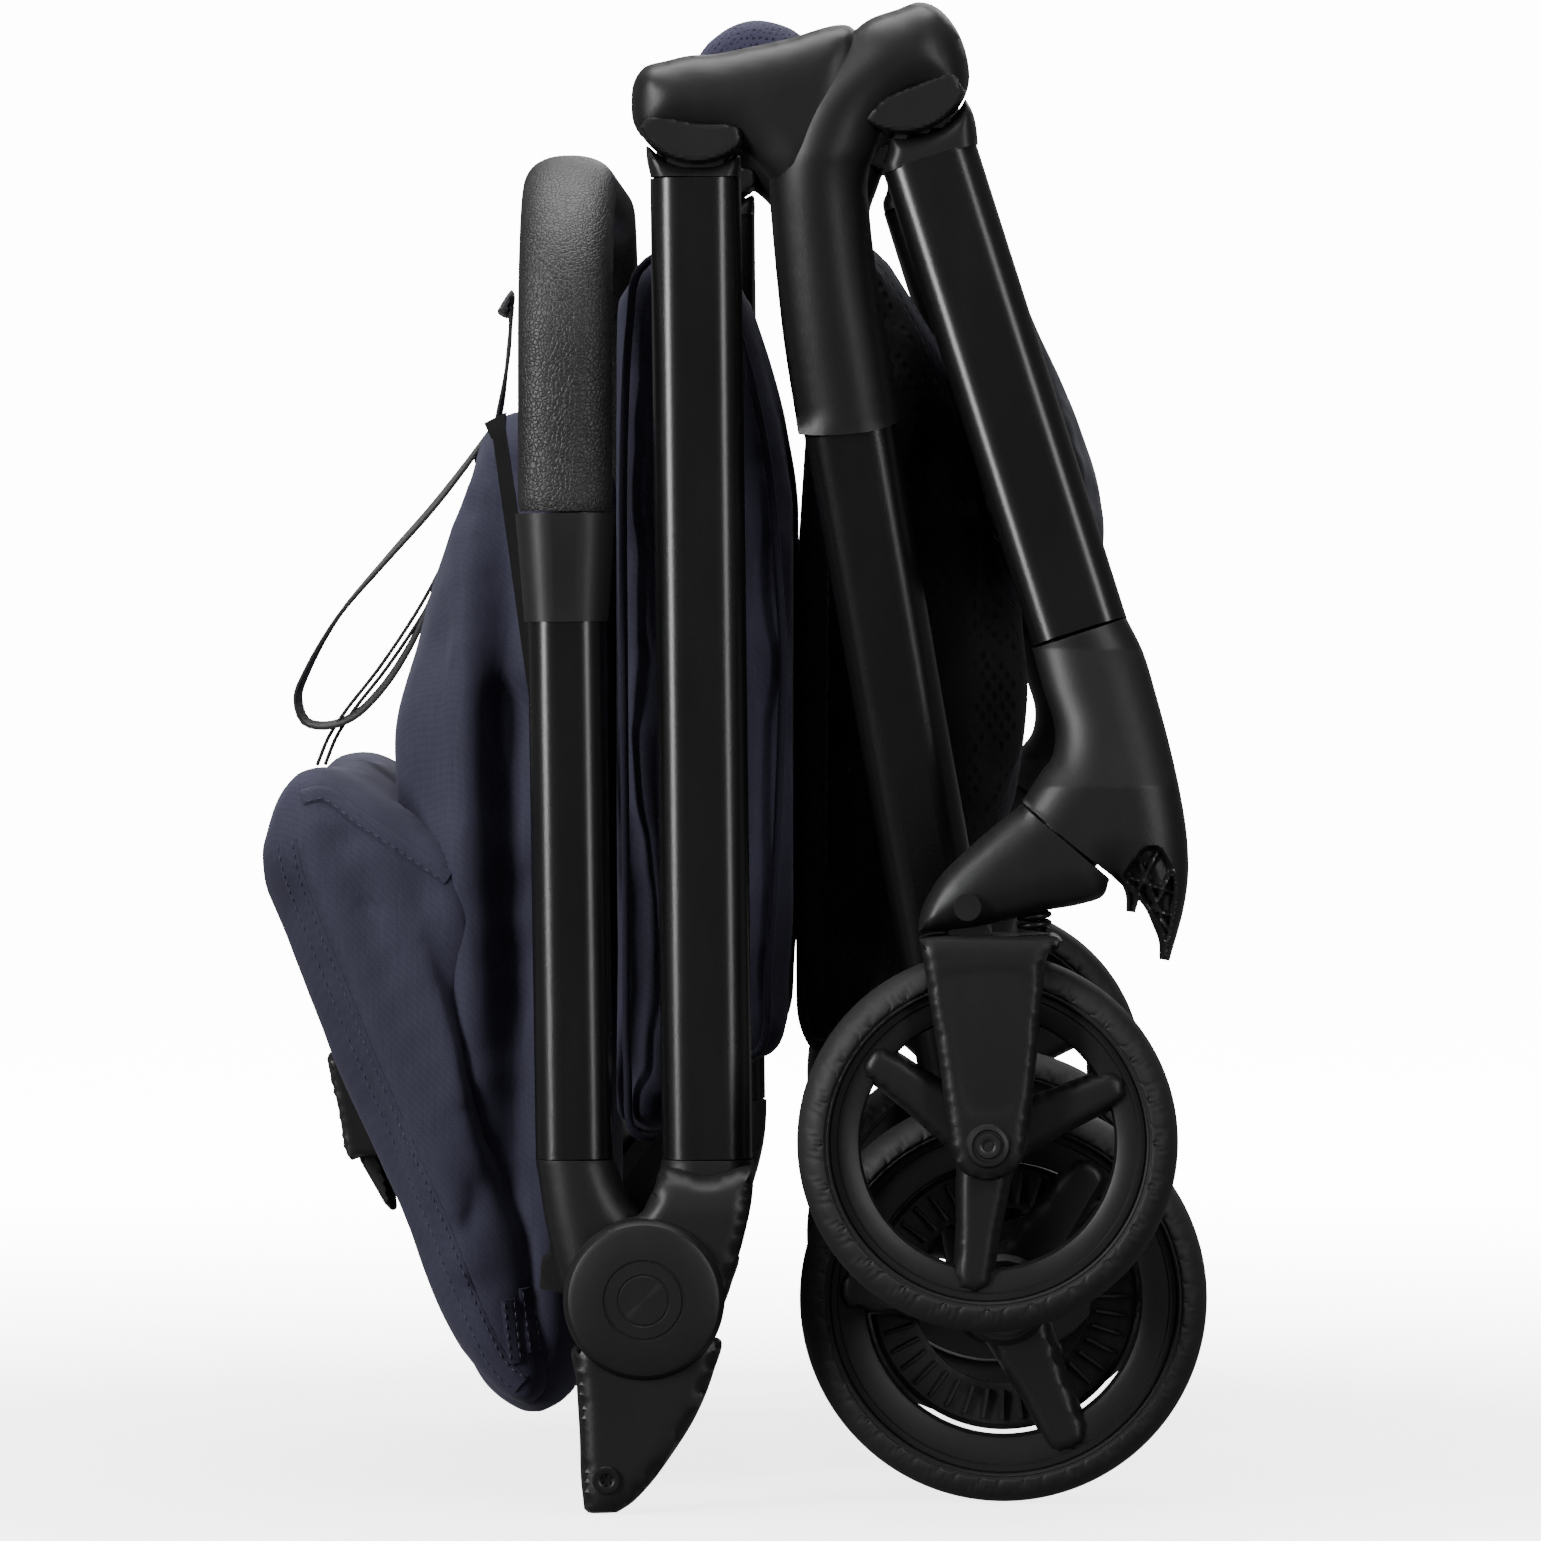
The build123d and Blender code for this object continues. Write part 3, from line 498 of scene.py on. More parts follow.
def superellipse(a, b, p=2.6, k=40):
    out = []
    for i in range(k):
        t = 2 * math.pi * i / k
        c, s = math.cos(t), math.sin(t)
        out.append((a * math.copysign(abs(c) ** (2 / p), c), b * math.copysign(abs(s) ** (2 / p), s)))
    return out


def lathe(name, centre, y0, prof, mat, seg=128, bumpf=None, sharp=35):
    """Revolves (radius, outward y) points round the wheel axis at centre (x, z); y is measured from -y0."""
    prof = np.array(prof, float)
    V, F = [], []
    k = len(prof)
    for i in range(seg):
        t = 2 * math.pi * i / seg
        c, s = math.cos(t), math.sin(t)
        for j, (r, y) in enumerate(prof):
            if bumpf is not None:
                r, y = bumpf(r, y, t, j)
            V.append((centre[0] + r * c, -(y0 + y), centre[1] + r * s))
    for i in range(seg):
        ii = (i + 1) % seg
        for j in range(k):
            jj = (j + 1) % k
            F.append((i * k + j, i * k + jj, ii * k + jj, ii * k + j))
    return obj_from(name, V, F, mat, True, sharp)


def solid_lathe(name, centre, y0, prof, mat, seg=96, sharp=35, extra=None):
    """A lathe whose profile starts and ends on the axis."""
    V, F = [], []
    k = len(prof)
    for i in range(seg):
        t = 2 * math.pi * i / seg
        c, s = math.cos(t), math.sin(t)
        for r, y in prof:
            V.append((centre[0] + r * c, -(y0 + y), centre[1] + r * s))
    for i in range(seg):
        ii = (i + 1) % seg
        for j in range(k - 1):
            F.append((i * k + j, i * k + j + 1, ii * k + j + 1, ii * k + j))
    return obj_from(name, V, F, mat, True, sharp)


def both(o, right, left, rb, lb, nodes_r=(), nodes_l=()):
    """o is the right side's piece; its mirror goes on the left."""
    c = flip(o, o.name.replace("_right", "_left") if "_right" in o.name else o.name + "_left")
    for x, body, ns in ((o, rb, nodes_r), (c, lb, nodes_l)):
        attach(x, body)
        if ns:
            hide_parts(*ns)
    return o, c


def put(o, body, nodes=()):
    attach(o, body)
    if nodes:
        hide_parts(*nodes)
    return o


def paint(names, mat):
    for n in names:
        o = N[n]
        if not o.material_slots:
            o.data.materials.append(mat)
        for s in o.material_slots:
            s.material = mat


# ------------------------------------------------------------------ where things are
# Outlines below are side views in mm.  at() lays them on the node they belong to:
# REF is the rectangle they were drawn in, and it is fitted to the node's own box.
REF = {
    "side_joint_right": (-36.3, 88.4, 395.9, 556.9), "push_bar_caps": (-30.8, 4.2, 492.4, 531.8),
    "front_leg_caps": (52.5, 91.7, 492.8, 543.8), "foot_casting_right": (107.6, 168.0, 204.8, 330.3),
    "swivel_head_right": (69.7, 142.0, 215.6, 270.7), "fork_right": (69.9, 122.0, 125.5, 232.8),
    "hinge_arms": (-72.0, -1.5, 49.5, 129.4), "hinge_base_right": (-60.9, 9.0, 49.5, 129.4),
    "stand_feet": (-57.6, -2.8, 0.0, 65.9), "canopy": (-177.6, -50.0, 30.0, 408.0),
    "backrest": (-42.5, 21.7, 133.0, 470.0), "seat_cushion": (-15.0, 33.0, 521.0, 553.0),
    "leg_rest": (74.0, 139.0, 338.0, 492.0), "basket": (24.0, 112.0, 162.0, 470.0),
    "carry_strap": (-172.5, -94.5, 285.0, 405.0), "strap_adjuster": (-103.0, -89.0, 386.0, 403.0),
    "harness_buckle": (-160.5, -133.0, 96.5, 161.0), "handle_grip_sides": (-78.5, -43.3, 368.9, 503.4),
}


def at(node, pts):
    lo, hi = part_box(node)
    x0, x1, z0, z1 = REF[node]
    kx, kz = (hi.x - lo.x) / (x1 - x0), (hi.z - lo.z) / (z1 - z0)
    return [(lo.x + (x - x0) * kx, lo.z + (z - z0) * kz) for x, z in pts]


def out(node):
    """Outermost |y| of the node."""
    lo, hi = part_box(node)
    return max(abs(lo.y), abs(hi.y))


JP = {j["name"]: j for j in frame["record"]["behaviour"]["joints"]}


def jxz(name):
    p = JP[name]["pos_m"]
    return (p[0], p[2])


HX, RW, FW, FP = jxz("handle_fold"), jxz("rear_spin_right"), jxz("front_spin_right"), jxz("suspension_right")
Y_R, Y_F = abs(JP["rear_spin_right"]["pos_m"][1]), abs(JP["front_spin_right"]["pos_m"][1])
SWAX = np.array(JP["caster_swivel_right"]["axis"])
SWP = np.array(JP["caster_swivel_right"]["pos_m"])
lo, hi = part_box("push_bars")
Y_T = (hi.y + (hi.y - 0.022)) / 2

# ------------------------------------------------------------------ CAD nodes that stay
paint(["rear_legs", "push_bars", "handle_tubes", "front_legs", "seat_cross_tube", "back_cross_tube", "front_cross_tube", "rear_axle_beam"], M["tube"])
paint(["rear_leg_feet", "canopy_brackets", "brake_pedal", "fold_trigger", "handle_collars", "canopy_bow_arms"], M["plastic"])
paint(["rear_axle", "frame_pivot_pins", "rear_axle_washers", "hinge_pins", "canopy_pins", "suspension_pin_right", "suspension_pin_left",
       "front_axle_right", "front_axle_left"], M["steel"])
paint(["buckle_button"], M["satin"])


def join(a, b):
    bm = bmesh.new()
    bm.from_mesh(a.data)
    bm.from_mesh(b.data)
    bm.to_mesh(a.data)
    bm.free()
    bpy.data.objects.remove(b)
    return a


def screw(name, centre, y, r, depth=0.0012):
    """A socket head: dished rim, recess and six lobes round it."""
    prof = [(0.00005, -0.002), (0.00005, -depth * 1.1), (r * 0.42, -depth * 1.1), (r * 0.46, 0.0), (r * 0.62, 0.0004), (r * 0.9, 0.0003), (r, -0.0004), (r, -0.002)]
    o = solid_lathe(name, centre, y, prof, M["steel"], 48)
    for i in range(6):
        a = math.radians(60 * i)
        join(o, solid_lathe("tmp", (centre[0] + r * 0.36 * math.cos(a), centre[1] + r * 0.36 * math.sin(a)), y - depth * 1.05,
                            [(0.00001, 0.0006), (r * 0.1, 0.0006), (r * 0.13, 0.0)], M["steel"], 12))
    return o


# ------------------------------------------------------------------ side joints
ARM_A = at("side_joint_right", [(-36.3, 520.1), (-35.4, 527.5), (-31.5, 533.0), (-23.5, 535.3), (-14.6, 537.3), (-6.8, 537.6), (7, 540.2), (20, 543), (44.5, 548.0), (50, 535.5), (48.5, 517),
      (44.5, 504), (36, 490), (24, 484.5), (14.5, 491.5), (8.6, 498.3), (3.5, 502.3), (-3.5, 505.2), (-13.4, 505.7), (-24.1, 505.6), (-31.5, 506.5), (-35.4, 512)])
ARM_B = at("side_joint_right", [(41.5, 542.2), (51.1, 550.3), (61.8, 554.2), (69.9, 556.9), (76.8, 554.7), (83.6, 547.0), (87.4, 537.5), (88.4, 527.5), (86.2, 521.2), (82.3, 518.6), (74.0, 521.2), (64.4, 517.4), (57.3, 510.3),
      (54.1, 502.4), (51.1, 493.0), (52.0, 475.5), (55.4, 449), (59.0, 428.6), (63.2, 403.0), (59.0, 400.6), (51.8, 398.6), (40.8, 397.4), (31.6, 397.2), (25.2, 397.9), (22.3, 415.6), (19.4, 435.2), (15.7, 472.1),
      (14.6, 489.1), (15.0, 498.6), (17.9, 510.4), (23.4, 522.6), (31.6, 532.9)])
P1, P2 = jxz("fold"), jxz("front_fold")
jo = out("side_joint_right")
LEG = (0.0714, 0.063, -0.404)


def limb_lean(P):
    z = P[:, 1]
    return np.clip((P1[1] - 0.0208) - z, 0, None) * (LEG[1] / -LEG[2]) * 0.98


a = pillow("joint_rear_arm_right", ARM_A, jo - 0.0170, 0.0154, 0.0170, M["plastic"], 0.0022)
b = pillow("joint_front_arm_right", ARM_B, jo - 0.0170, 0.0170, 0.0185, M["plastic"], 0.0022, lean=limb_lean, corner={18, 23},
           open_z=lambda p: p[1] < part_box("side_joint_right")[0].z + 0.0078)
def arc_pts(c, r, a0, a1, n=12):
    return [(c[0] + r * math.cos(t), c[1] + r * math.sin(t)) for t in np.linspace(math.radians(a0), math.radians(a1), n)]


def under(name, c, r, a0, a1, top, half):
    o = pillow(name, arc_pts(c, r, a0, a1, 24) + top, jo - 0.0170, half, 0.0022, M["plastic"], 0.0010, power=2.4, corner={0, 23}, smooth_h=0)
    both(o, 0, 0, "rear_frame", "rear_frame", ["side_joint_right"], ["side_joint_left"])


under("joint_rear_underside_right", P1, 0.0243, 206, 316, [(P1[0] + 0.016, P1[1] - 0.010), (P1[0], P1[1] - 0.008), (P1[0] - 0.018, P1[1] - 0.006)], 0.0140)
under("joint_front_underside_right", P2, 0.0252, 232, 338, [(P2[0] + 0.019, P2[1] - 0.002), (P2[0] + 0.004, P2[1] - 0.006), (P2[0] - 0.009, P2[1] - 0.012)], 0.0140)
both(a, 0, 0, "rear_frame", "rear_frame", ["side_joint_right"], ["side_joint_left"])
both(b, 0, 0, "rear_frame", "rear_frame", ["side_joint_right"], ["side_joint_left"])

# Caps on push bar and front leg: saddles under the joint's round ends, with the pivot lug.
CAP_A = at("push_bar_caps", [(-29.2, 492.4), (-30.6, 498.6), (-31.0, 504.0)]) + arc_pts(P1, 0.0247, 224, 298, 14) + at("push_bar_caps", [(3.4, 500.6), (4.2, 496.8), (4.2, 492.4)])
o = pillow("push_bar_cap_right", CAP_A, Y_T, 0.0118, 0.0070, M["plastic"], 0.0011, power=2.6, open_z=lambda p: p[1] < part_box("push_bar_caps")[0].z + 0.0003, corner={0, 2, 3, 16, len(CAP_A) - 1}, smooth_h=1)
lug = [(P1[0] + 0.010 * math.cos(t), P1[1] + 0.010 * math.sin(t)) for t in np.linspace(-0.3, math.pi + 0.3, 9)] + [(P1[0] - 0.0125, P1[1] - 0.016), (P1[0] - 0.0135, P1[1] - 0.0262), (P1[0] + 0.0120, P1[1] - 0.0262), (P1[0] + 0.0120, P1[1] - 0.016)]
join(o, pillow("tmp", lug, Y_T, 0.0068, 0.0010, M["plastic"], 0.002, corner={10, 11}, smooth_h=0))
both(o, 0, 0, "push_frame", "push_frame", ["push_bar_caps"], ["push_bar_caps"])
CAP_B = at("front_leg_caps", [(57.0, 493.6), (56.6, 497.5), (58.2, 502.0)]) + arc_pts(P2, 0.0256, 258, 334, 14) + at("front_leg_caps", [(89.5, 516.8), (91.0, 511.2), (91.7, 504.5)])
c0, c1 = np.array(CAP_B[0]), np.array(CAP_B[-1])
o = pillow("front_leg_cap_right", CAP_B, Y_T - 0.0003, 0.0118, 0.0070, M["plastic"], 0.0011, power=2.6,
           open_z=lambda p: abs((p[0] - c0[0]) * (c1[1] - c0[1]) - (p[1] - c0[1]) * (c1[0] - c0[0])) < 0.0003 * np.linalg.norm(c1 - c0), corner={0, 3, 16, len(CAP_B) - 1}, smooth_h=1)
dl = np.array((0.3, -0.954))
pr = np.array((0.954, 0.3))
lug = [tuple(np.array(P2) + 0.0105 * (pr * math.cos(t) - dl * math.sin(t))) for t in np.linspace(-0.3, math.pi + 0.3, 9)] + [tuple(np.array(P2) + dl * 0.016 - pr * 0.0125), tuple(np.array(P2) + dl * 0.027 - pr * 0.0125), tuple(np.array(P2) + dl * 0.027 + pr * 0.0135), tuple(np.array(P2) + dl * 0.016 + pr * 0.0125)]
join(o, pillow("tmp", lug, Y_T, 0.0068, 0.0010, M["plastic"], 0.002, corner={10, 11}, smooth_h=0))
both(o, 0, 0, "front_frame", "front_frame", ["front_leg_caps"], ["front_leg_caps"])

# ------------------------------------------------------------------ foot castings
FC = "foot_casting_right"
co, cf = out(FC), 0.020
CY = co - cf
BODY = at(FC, [(111.5, 318.6), (145.8, 329.9), (151.9, 317.5), (156.5, 302.1), (162.4, 279.1), (166.9, 256.0), (168.0, 244.5), (168.0, 235.0), (166.2, 223.0), (161.2, 204.9), (157.8, 205.4), (157.6, 211.5), (155.6, 216.9),
      (152.2, 224.2), (147.2, 229.6), (142.2, 233.8), (139.8, 236.2), (123.2, 249.6), (107.6, 262.9), (114.2, 273.0), (118.6, 279.4), (119.7, 289.2), (115.4, 303.9)])
k0, k1 = np.array(BODY[0]), np.array(BODY[1])


def on_line(p, a, b, tol):
    a, b, p = np.array(a), np.array(b), np.array(p)
    d = (b - a) / np.linalg.norm(b - a)
    return abs((p - a)[0] * d[1] - (p - a)[1] * d[0]) < tol


def cast_lean(P):
    return np.clip((P[:, 1] - (k0[1] - 0.050)) / 0.050, 0, 1) * 0.0145


HOLLOW = at(FC, [(144.0, 236.0), (147.6, 242.0), (151.6, 246.6), (156.0, 247.4), (160.0, 243.6), (163.0, 236.0), (163.2, 226.0), (161.6, 217.0), (160.0, 211.8), (158.8, 216.0), (155.6, 221.6), (151.4, 227.4), (146.6, 233.2)])


def cast_relief(P):
    """The open underside of the mudguard: a deep recess with moulded ribs crossing it."""
    r = catmull(HOLLOW, 0.0015)
    d = dist_to(P, r, np.roll(r, -1, 0))
    dep = np.clip(d / 0.0016, 0, 1)
    for p, q in (((143.0, 236.5), (163.6, 229.5)), ((148.0, 246.5), (161.0, 214.5)), ((158.5, 249.0), (148.5, 227.5)), ((163.0, 240.5), (153.5, 219.5)), ((150.0, 226.0), (163.0, 221.0))):
        a_, b_ = (np.array(v) for v in at(FC, [p, q]))
        u_ = (b_ - a_) / np.linalg.norm(b_ - a_)
        dr = np.abs((P[:, 0] - a_[0]) * u_[1] - (P[:, 1] - a_[1]) * u_[0])
        dep = np.minimum(dep, 0.45 + 0.55 * np.clip((dr - 0.0004) / 0.0008, 0, 1))
    return np.where(inside(P, r), -0.0052 * dep, 0.0)


o = pillow("foot_casting_body_right", BODY, CY, 0.0182, 0.0180, M["plastic"], 0.0017, lean=cast_lean, corner={0, 1, 9, 10, 16, 18}, relief=cast_relief, grid=0.00085, smooth_h=0,
           open_z=lambda p: on_line(p, BODY[0], BODY[1], 0.0006) or (on_line(p, BODY[16], BODY[18], 0.0012) and p[0] < BODY[16][0] + 0.001), floor_h=0.0060)
both(o, 0, 0, "front_frame", "front_frame", [FC], ["foot_casting_left"])

# ------------------------------------------------------------------ swivel heads
SH = "swivel_head_right"
HEAD = at(SH, [(107.4, 261.7), (139.2, 234.8), (137.0, 228.8), (128.4, 225.6), (113.8, 223.0), (102.0, 219.8), (93.8, 218.0), (81.0, 216.2), (69.7, 215.6), (70.0, 220.4), (73.4, 228.9), (78.9, 236.8), (87.2, 244.9), (97.1, 253.6)])
o = pillow("swivel_head_shell_right", HEAD, Y_F, 0.0175, 0.0150, M["plastic"], 0.0018, corner={0, 1, 8},
           open_z=lambda p: on_line(p, HEAD[0], HEAD[1], 0.0012), floor_h=0.0075)
# The rings round the swivel stem are passed the darker inner plastic, painted shade for the recess there.
for q, r in ((0.0, 0.0128), (0.0, 0.0150)):
    cc = SWP + SWAX * q
    join(o, sweep_tube("tmp", [tuple(cc + SWAX * d) for d in (-0.0045, 0.0, 0.0012)], lambda t, r=r: superellipse(r, r, 2, 40), M["inner"]))
stem0 = SWP - SWAX * 0.0015
stem = sweep_tube("tmp", [tuple(stem0 + SWAX * d) for d in (0, 0.006, 0.012, 0.018, 0.0225)], lambda t: superellipse(0.0049, 0.0049, 2, 24), M["steel"])
join(o, stem)
join(o, screw("tmp_s", FP, Y_F + 0.0166, 0.0044))
both(o, 0, 0, "caster_right", "caster_left", [SH], ["swivel_head_left"])


def coil(name, x, z0, z1, r, wire, turns):
    path = []
    k = int(turns * 22)
    for i in range(k + 1):
        t = i / k
        a = 2 * math.pi * turns * t
        path.append((x + r * math.cos(a), -Y_F + r * math.sin(a), z0 + (z1 - z0) * t))
    return sweep_tube(name, path, lambda t: superellipse(wire, wire, 2, 10), M["steel"], up=Vector((0, 0, 1)))


slo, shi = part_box("suspension_spring_right")
o = coil("suspension_coil_right", (slo.x + shi.x) / 2, slo.z + 0.0012, shi.z - 0.0012, (shi.x - slo.x) / 2 - 0.0012, 0.0011, 4.5)
for c_, sd in zip(both(o, 0, 0, "caster_right", "caster_left", ["suspension_spring_right"], ["suspension_spring_left"]), ("right", "left")):
    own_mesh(c_)


# ------------------------------------------------------------------ wheels
def make_tyre(name, c, R, W, y, inner, leaves):
    """Rounded tyre with moulded leaf-shaped grooves on both sidewalls."""
    prof = []
    for i in range(15):
        a = -math.pi / 2 + math.pi * i / 14
        prof.append((R - 0.0085 + 0.0085 * math.cos(a), W / 2 * math.sin(a)))
    side = [(R - 0.0085 - (R - 0.0085 - inner) * t, W / 2 - 0.0016 * t * t) for t in np.linspace(0, 1, 22)[1:]]
    prof = [(r, -yy) for r, yy in reversed(side)] + prof + side
    r_in, r_out = inner + 0.0013, R - 0.0035

    def groove(r, yy, t, j):
        if abs(yy) < W * 0.26:
            return r, yy
        u = (r - r_in) / (r_out - r_in)
        if not -0.1 < u < 1.15:
            return r, yy
        ph = t * leaves / (2 * math.pi)
        f = ph - math.floor(ph)
        arch = math.sin(math.pi * f) ** 0.7 * 0.92
        vein = abs(((ph + 0.55 * u) % 1.0) - 0.5) * 2
        d1 = abs(u - arch) * (r_out - r_in)
        d2 = vein * (2 * math.pi * r / leaves) / 2
        g = 0.00075 * math.exp(-(d1 / 0.0007) ** 2)
        if u < arch:
            g = max(g, 0.0006 * math.exp(-(d2 / 0.0007) ** 2))
        g = max(g, 0.0008 * math.exp(-((r - r_in) / 0.0005) ** 2))
        return r, yy - math.copysign(g, yy)

    return lathe(name, c, y, prof, M["tyre"], 720, groove, 60)


def make_rim(name, c, R, ring_in, y, w, hub_r, hub_w, angles, w0, w1, tip, ratchet=False):
    """Rim ring, bead lines, three broad spokes lapping over the ring, hub and cap."""
    h = w / 2
    ring = [(R, -h), (R, h - 0.0006), (R - 0.0009, h), (R - 0.0030, h), (R - 0.0036, h - 0.0009), (R - 0.0046, h - 0.0009),
            (ring_in + 0.0030, h - 0.0016), (ring_in + 0.0008, h - 0.0026), (ring_in, h - 0.0044), (ring_in, -h + 0.0044),
            (ring_in + 0.0008, -h + 0.0026), (ring_in + 0.0030, -h + 0.0016), (R - 0.0036, -h + 0.0009), (R - 0.0009, -h)]
    o = lathe(name, c, y, ring, M["plastic"], 160, None, 30)
    for a in angles:
        u = np.array((math.cos(math.radians(a)), math.sin(math.radians(a))))
        n = np.array((-u[1], u[0]))
        C = np.array(c)
        pts = [C + u * 0.004 + n * w0 * 0.5, C + u * hub_r * 1.15 + n * w0 * 0.5, C + u * tip * 0.55 + n * (w0 + w1) * 0.25, C + u * (tip - 0.0045) + n * w1 * 0.5,
               C + u * (tip - 0.0012) + n * w1 * 0.40, C + u * tip + n * w1 * 0.12]
        pts += [p - 2 * ((p - C) @ n) * n for p in reversed(pts)]
        join(o, pillow("tmp", [tuple(p) for p in pts], y + 0.0012, h + 0.0002, 0.0042, M["plastic"], 0.0017, power=2.2, smooth_h=1))
    hub = [(0.00005, -hub_w / 2), (hub_r - 0.001, -hub_w / 2), (hub_r, -hub_w / 2 + 0.001), (hub_r, hub_w / 2 - 0.0022), (hub_r - 0.0022, hub_w / 2), (0.00005, hub_w / 2)]
    join(o, solid_lathe("tmp", c, y, hub, M["plastic"], 64))
    if ratchet:
        ann = [(0.0330, -0.0148), (0.0500, -0.0148), (0.0500, -0.0085), (0.0488, -0.0080), (0.0480, -0.0092), (0.0345, -0.0106), (0.0330, -0.0112)]
        join(o, lathe("tmp", c, y, ann, M["plastic"], 160, None, 30))
        for i in range(40):
            a = math.radians(9 * i)
            u = Vector((math.cos(a), 0, math.sin(a)))
            p0 = Vector((c[0], -(y - 0.0092), c[1])) + u * 0.0352
            p1 = p0 + u * 0.0110
            join(o, sweep_tube("tmp", [p0, p0.lerp(p1, 0.5), p1], lambda t: superellipse(0.0008, 0.0016, 4, 10), M["plastic"]))
    return o


lo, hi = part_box("rear_tyre_right")
rlo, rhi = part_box("rear_rim_right")
RR, RI = (hi.x - lo.x) / 2, (rhi.x - rlo.x) / 2
tr = make_tyre("rear_tyre_rubber_right", RW, RR, hi.y - lo.y, Y_R, RI - 0.0002, 26)
both(tr, 0, 0, "rear_wheel_right", "rear_wheel_left", ["rear_tyre_right"], ["rear_tyre_left"])
rr = make_rim("rear_rim_moulding_right", RW, RI, RI - 0.0140, Y_R, 0.016, 0.017, 0.024, (56, 176, 295), 0.0240, 0.0165, RI - 0.0025, True)
both(rr, 0, 0, "rear_wheel_right", "rear_wheel_left", ["rear_rim_right"], ["rear_rim_left"])
lo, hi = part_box("front_tyre_right")
rlo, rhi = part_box("front_rim_right")
FR, FI = (hi.x - lo.x) / 2, (rhi.x - rlo.x) / 2
tf = make_tyre("front_tyre_rubber_right", FW, FR, hi.y - lo.y, Y_F, FI - 0.0002, 24)
both(tf, 0, 0, "front_wheel_right", "front_wheel_left", ["front_tyre_right"], ["front_tyre_left"])
rf = make_rim("front_rim_moulding_right", FW, FI, FI - 0.0117, Y_F, 0.015, 0.013, 0.025, (24, 144, 264), 0.0200, 0.0140, FI - 0.0025)
both(rf, 0, 0, "front_wheel_right", "front_wheel_left", ["front_rim_right"], ["front_rim_left"])

# ------------------------------------------------------------------ forks
FK = "fork_right"
fo = out(FK)
FORK = at(FK, [(69.9, 213.0), (73.7, 214.0), (87.1, 214.6), (108.5, 214.2), (119.6, 214.2), (122.0, 212.9), (121.2, 210.4), (116.8, 207.9), (115.7, 203.9), (115.0, 197.0), (112.8, 172.7), (110.2, 148.0), (108.7, 137.1), (105.6, 130.2), (100.5, 126.6),
               (94.9, 125.5), (88.9, 126.6), (83.8, 130.8), (81.3, 137.1), (80.1, 146.2), (76.9, 169.8), (73.7, 189.7), (71.2, 206.0)])
PANEL = at(FK, [(77.6, 201.0), (88.2, 203.4), (107.6, 203.2), (111.2, 200.0), (109.2, 175.4), (106.6, 155.6), (103.0, 150.1), (86.8, 150.1), (84.0, 158.2), (80.6, 177.0)])


def fork_relief(P):
    r = catmull(PANEL, 0.003)
    d = dist_to(P, r, np.roll(r, -1, 0))
    return np.where(inside(P, r), -0.0004 * np.clip(d / 0.002, 0, 1), 0.0)


o = pillow("fork_outer_leg_right", FORK, fo - 0.0044, 0.0043, 0.0052, M["plastic"], 0.0016, power=2.2, relief=fork_relief, corner={0, 5}, smooth_h=2)
join(o, pillow("tmp", FORK, 2 * Y_F - fo + 0.0044, 0.0043, 0.0050, M["plastic"], 0.0018, power=2.2, corner={0, 5}, smooth_h=2))
BRIDGE = at(FK, [(69.9, 212.9), (73.7, 214.3), (87.1, 214.6), (108.5, 214.2), (119.6, 214.2), (122.0, 212.9), (121.0, 210.7), (109.9, 209.9), (95.4, 209.4), (80.9, 209.9), (70.6, 210.6)])
join(o, pillow("tmp", BRIDGE, Y_F, 0.0185, 0.0022, M["plastic"], 0.0013, power=3.0, smooth_h=0))
TONGUE = [(FP[0] - 0.0078, FP[1] - 0.0115), (FP[0] - 0.0078, FP[1]), (FP[0] - 0.0055, FP[1] + 0.0055), (FP[0], FP[1] + 0.0078), (FP[0] + 0.0055, FP[1] + 0.0055), (FP[0] + 0.0078, FP[1]), (FP[0] + 0.0095, FP[1] - 0.0115)]
join(o, pillow("tmp", TONGUE, Y_F, 0.0078, 0.0010, M["plastic"], 0.0012, power=3.0, smooth_h=0, corner={0, 6}))
both(o, 0, 0, "fork_right", "fork_left", [FK], ["fork_left"])
cap = solid_lathe("front_axle_cap_right", FW, fo, [(0.00005, -0.002), (0.0082, -0.002), (0.0082, 0.0), (0.0074, 0.0012), (0.0060, 0.0015), (0.0055, 0.0008), (0.00005, 0.0008)], M["satin"], 64)
join(cap, screw("tmp_screw", FW, fo + 0.0014, 0.0048))
both(cap, 0, 0, "fork_right", "fork_left", ["front_axle_right"], ["front_axle_left"])

# ------------------------------------------------------------------ fold hinges
HA = "hinge_arms"
A_ARM = at(HA, [(-72.0, 129.4), (-70.8, 122.4), (-68.9, 109.5), (-66.2, 96.6), (-63.0, 84.0), (-57.7, 70.1), (-38.0, 70.1), (-28.0, 84.0), (-29.6, 100.3), (-32.8, 109.6), (-37.0, 115.0), (-40.3, 122.4), (-42.6, 129.4)])
o = pillow("hinge_arm_housing_right", A_ARM, Y_T, 0.0122, 0.0125, M["plastic"], 0.0018, corner={0, 12}, open_z=lambda p: p[1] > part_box("hinge_arms")[1].z - 0.0008)
DR = abs(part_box("hinge_arms")[1].x - HX[0])
join(o, solid_lathe("tmp", HX, Y_T - 0.012, [(0.00005, 0.0), (DR - 0.0017, 0.0), (DR - 0.0002, 0.0015), (DR, 0.0240), (0.00005, 0.0246)], M["plastic"], 96))
both(o, 0, 0, "handle", "handle", [HA], [HA])
HB = "hinge_base_right"
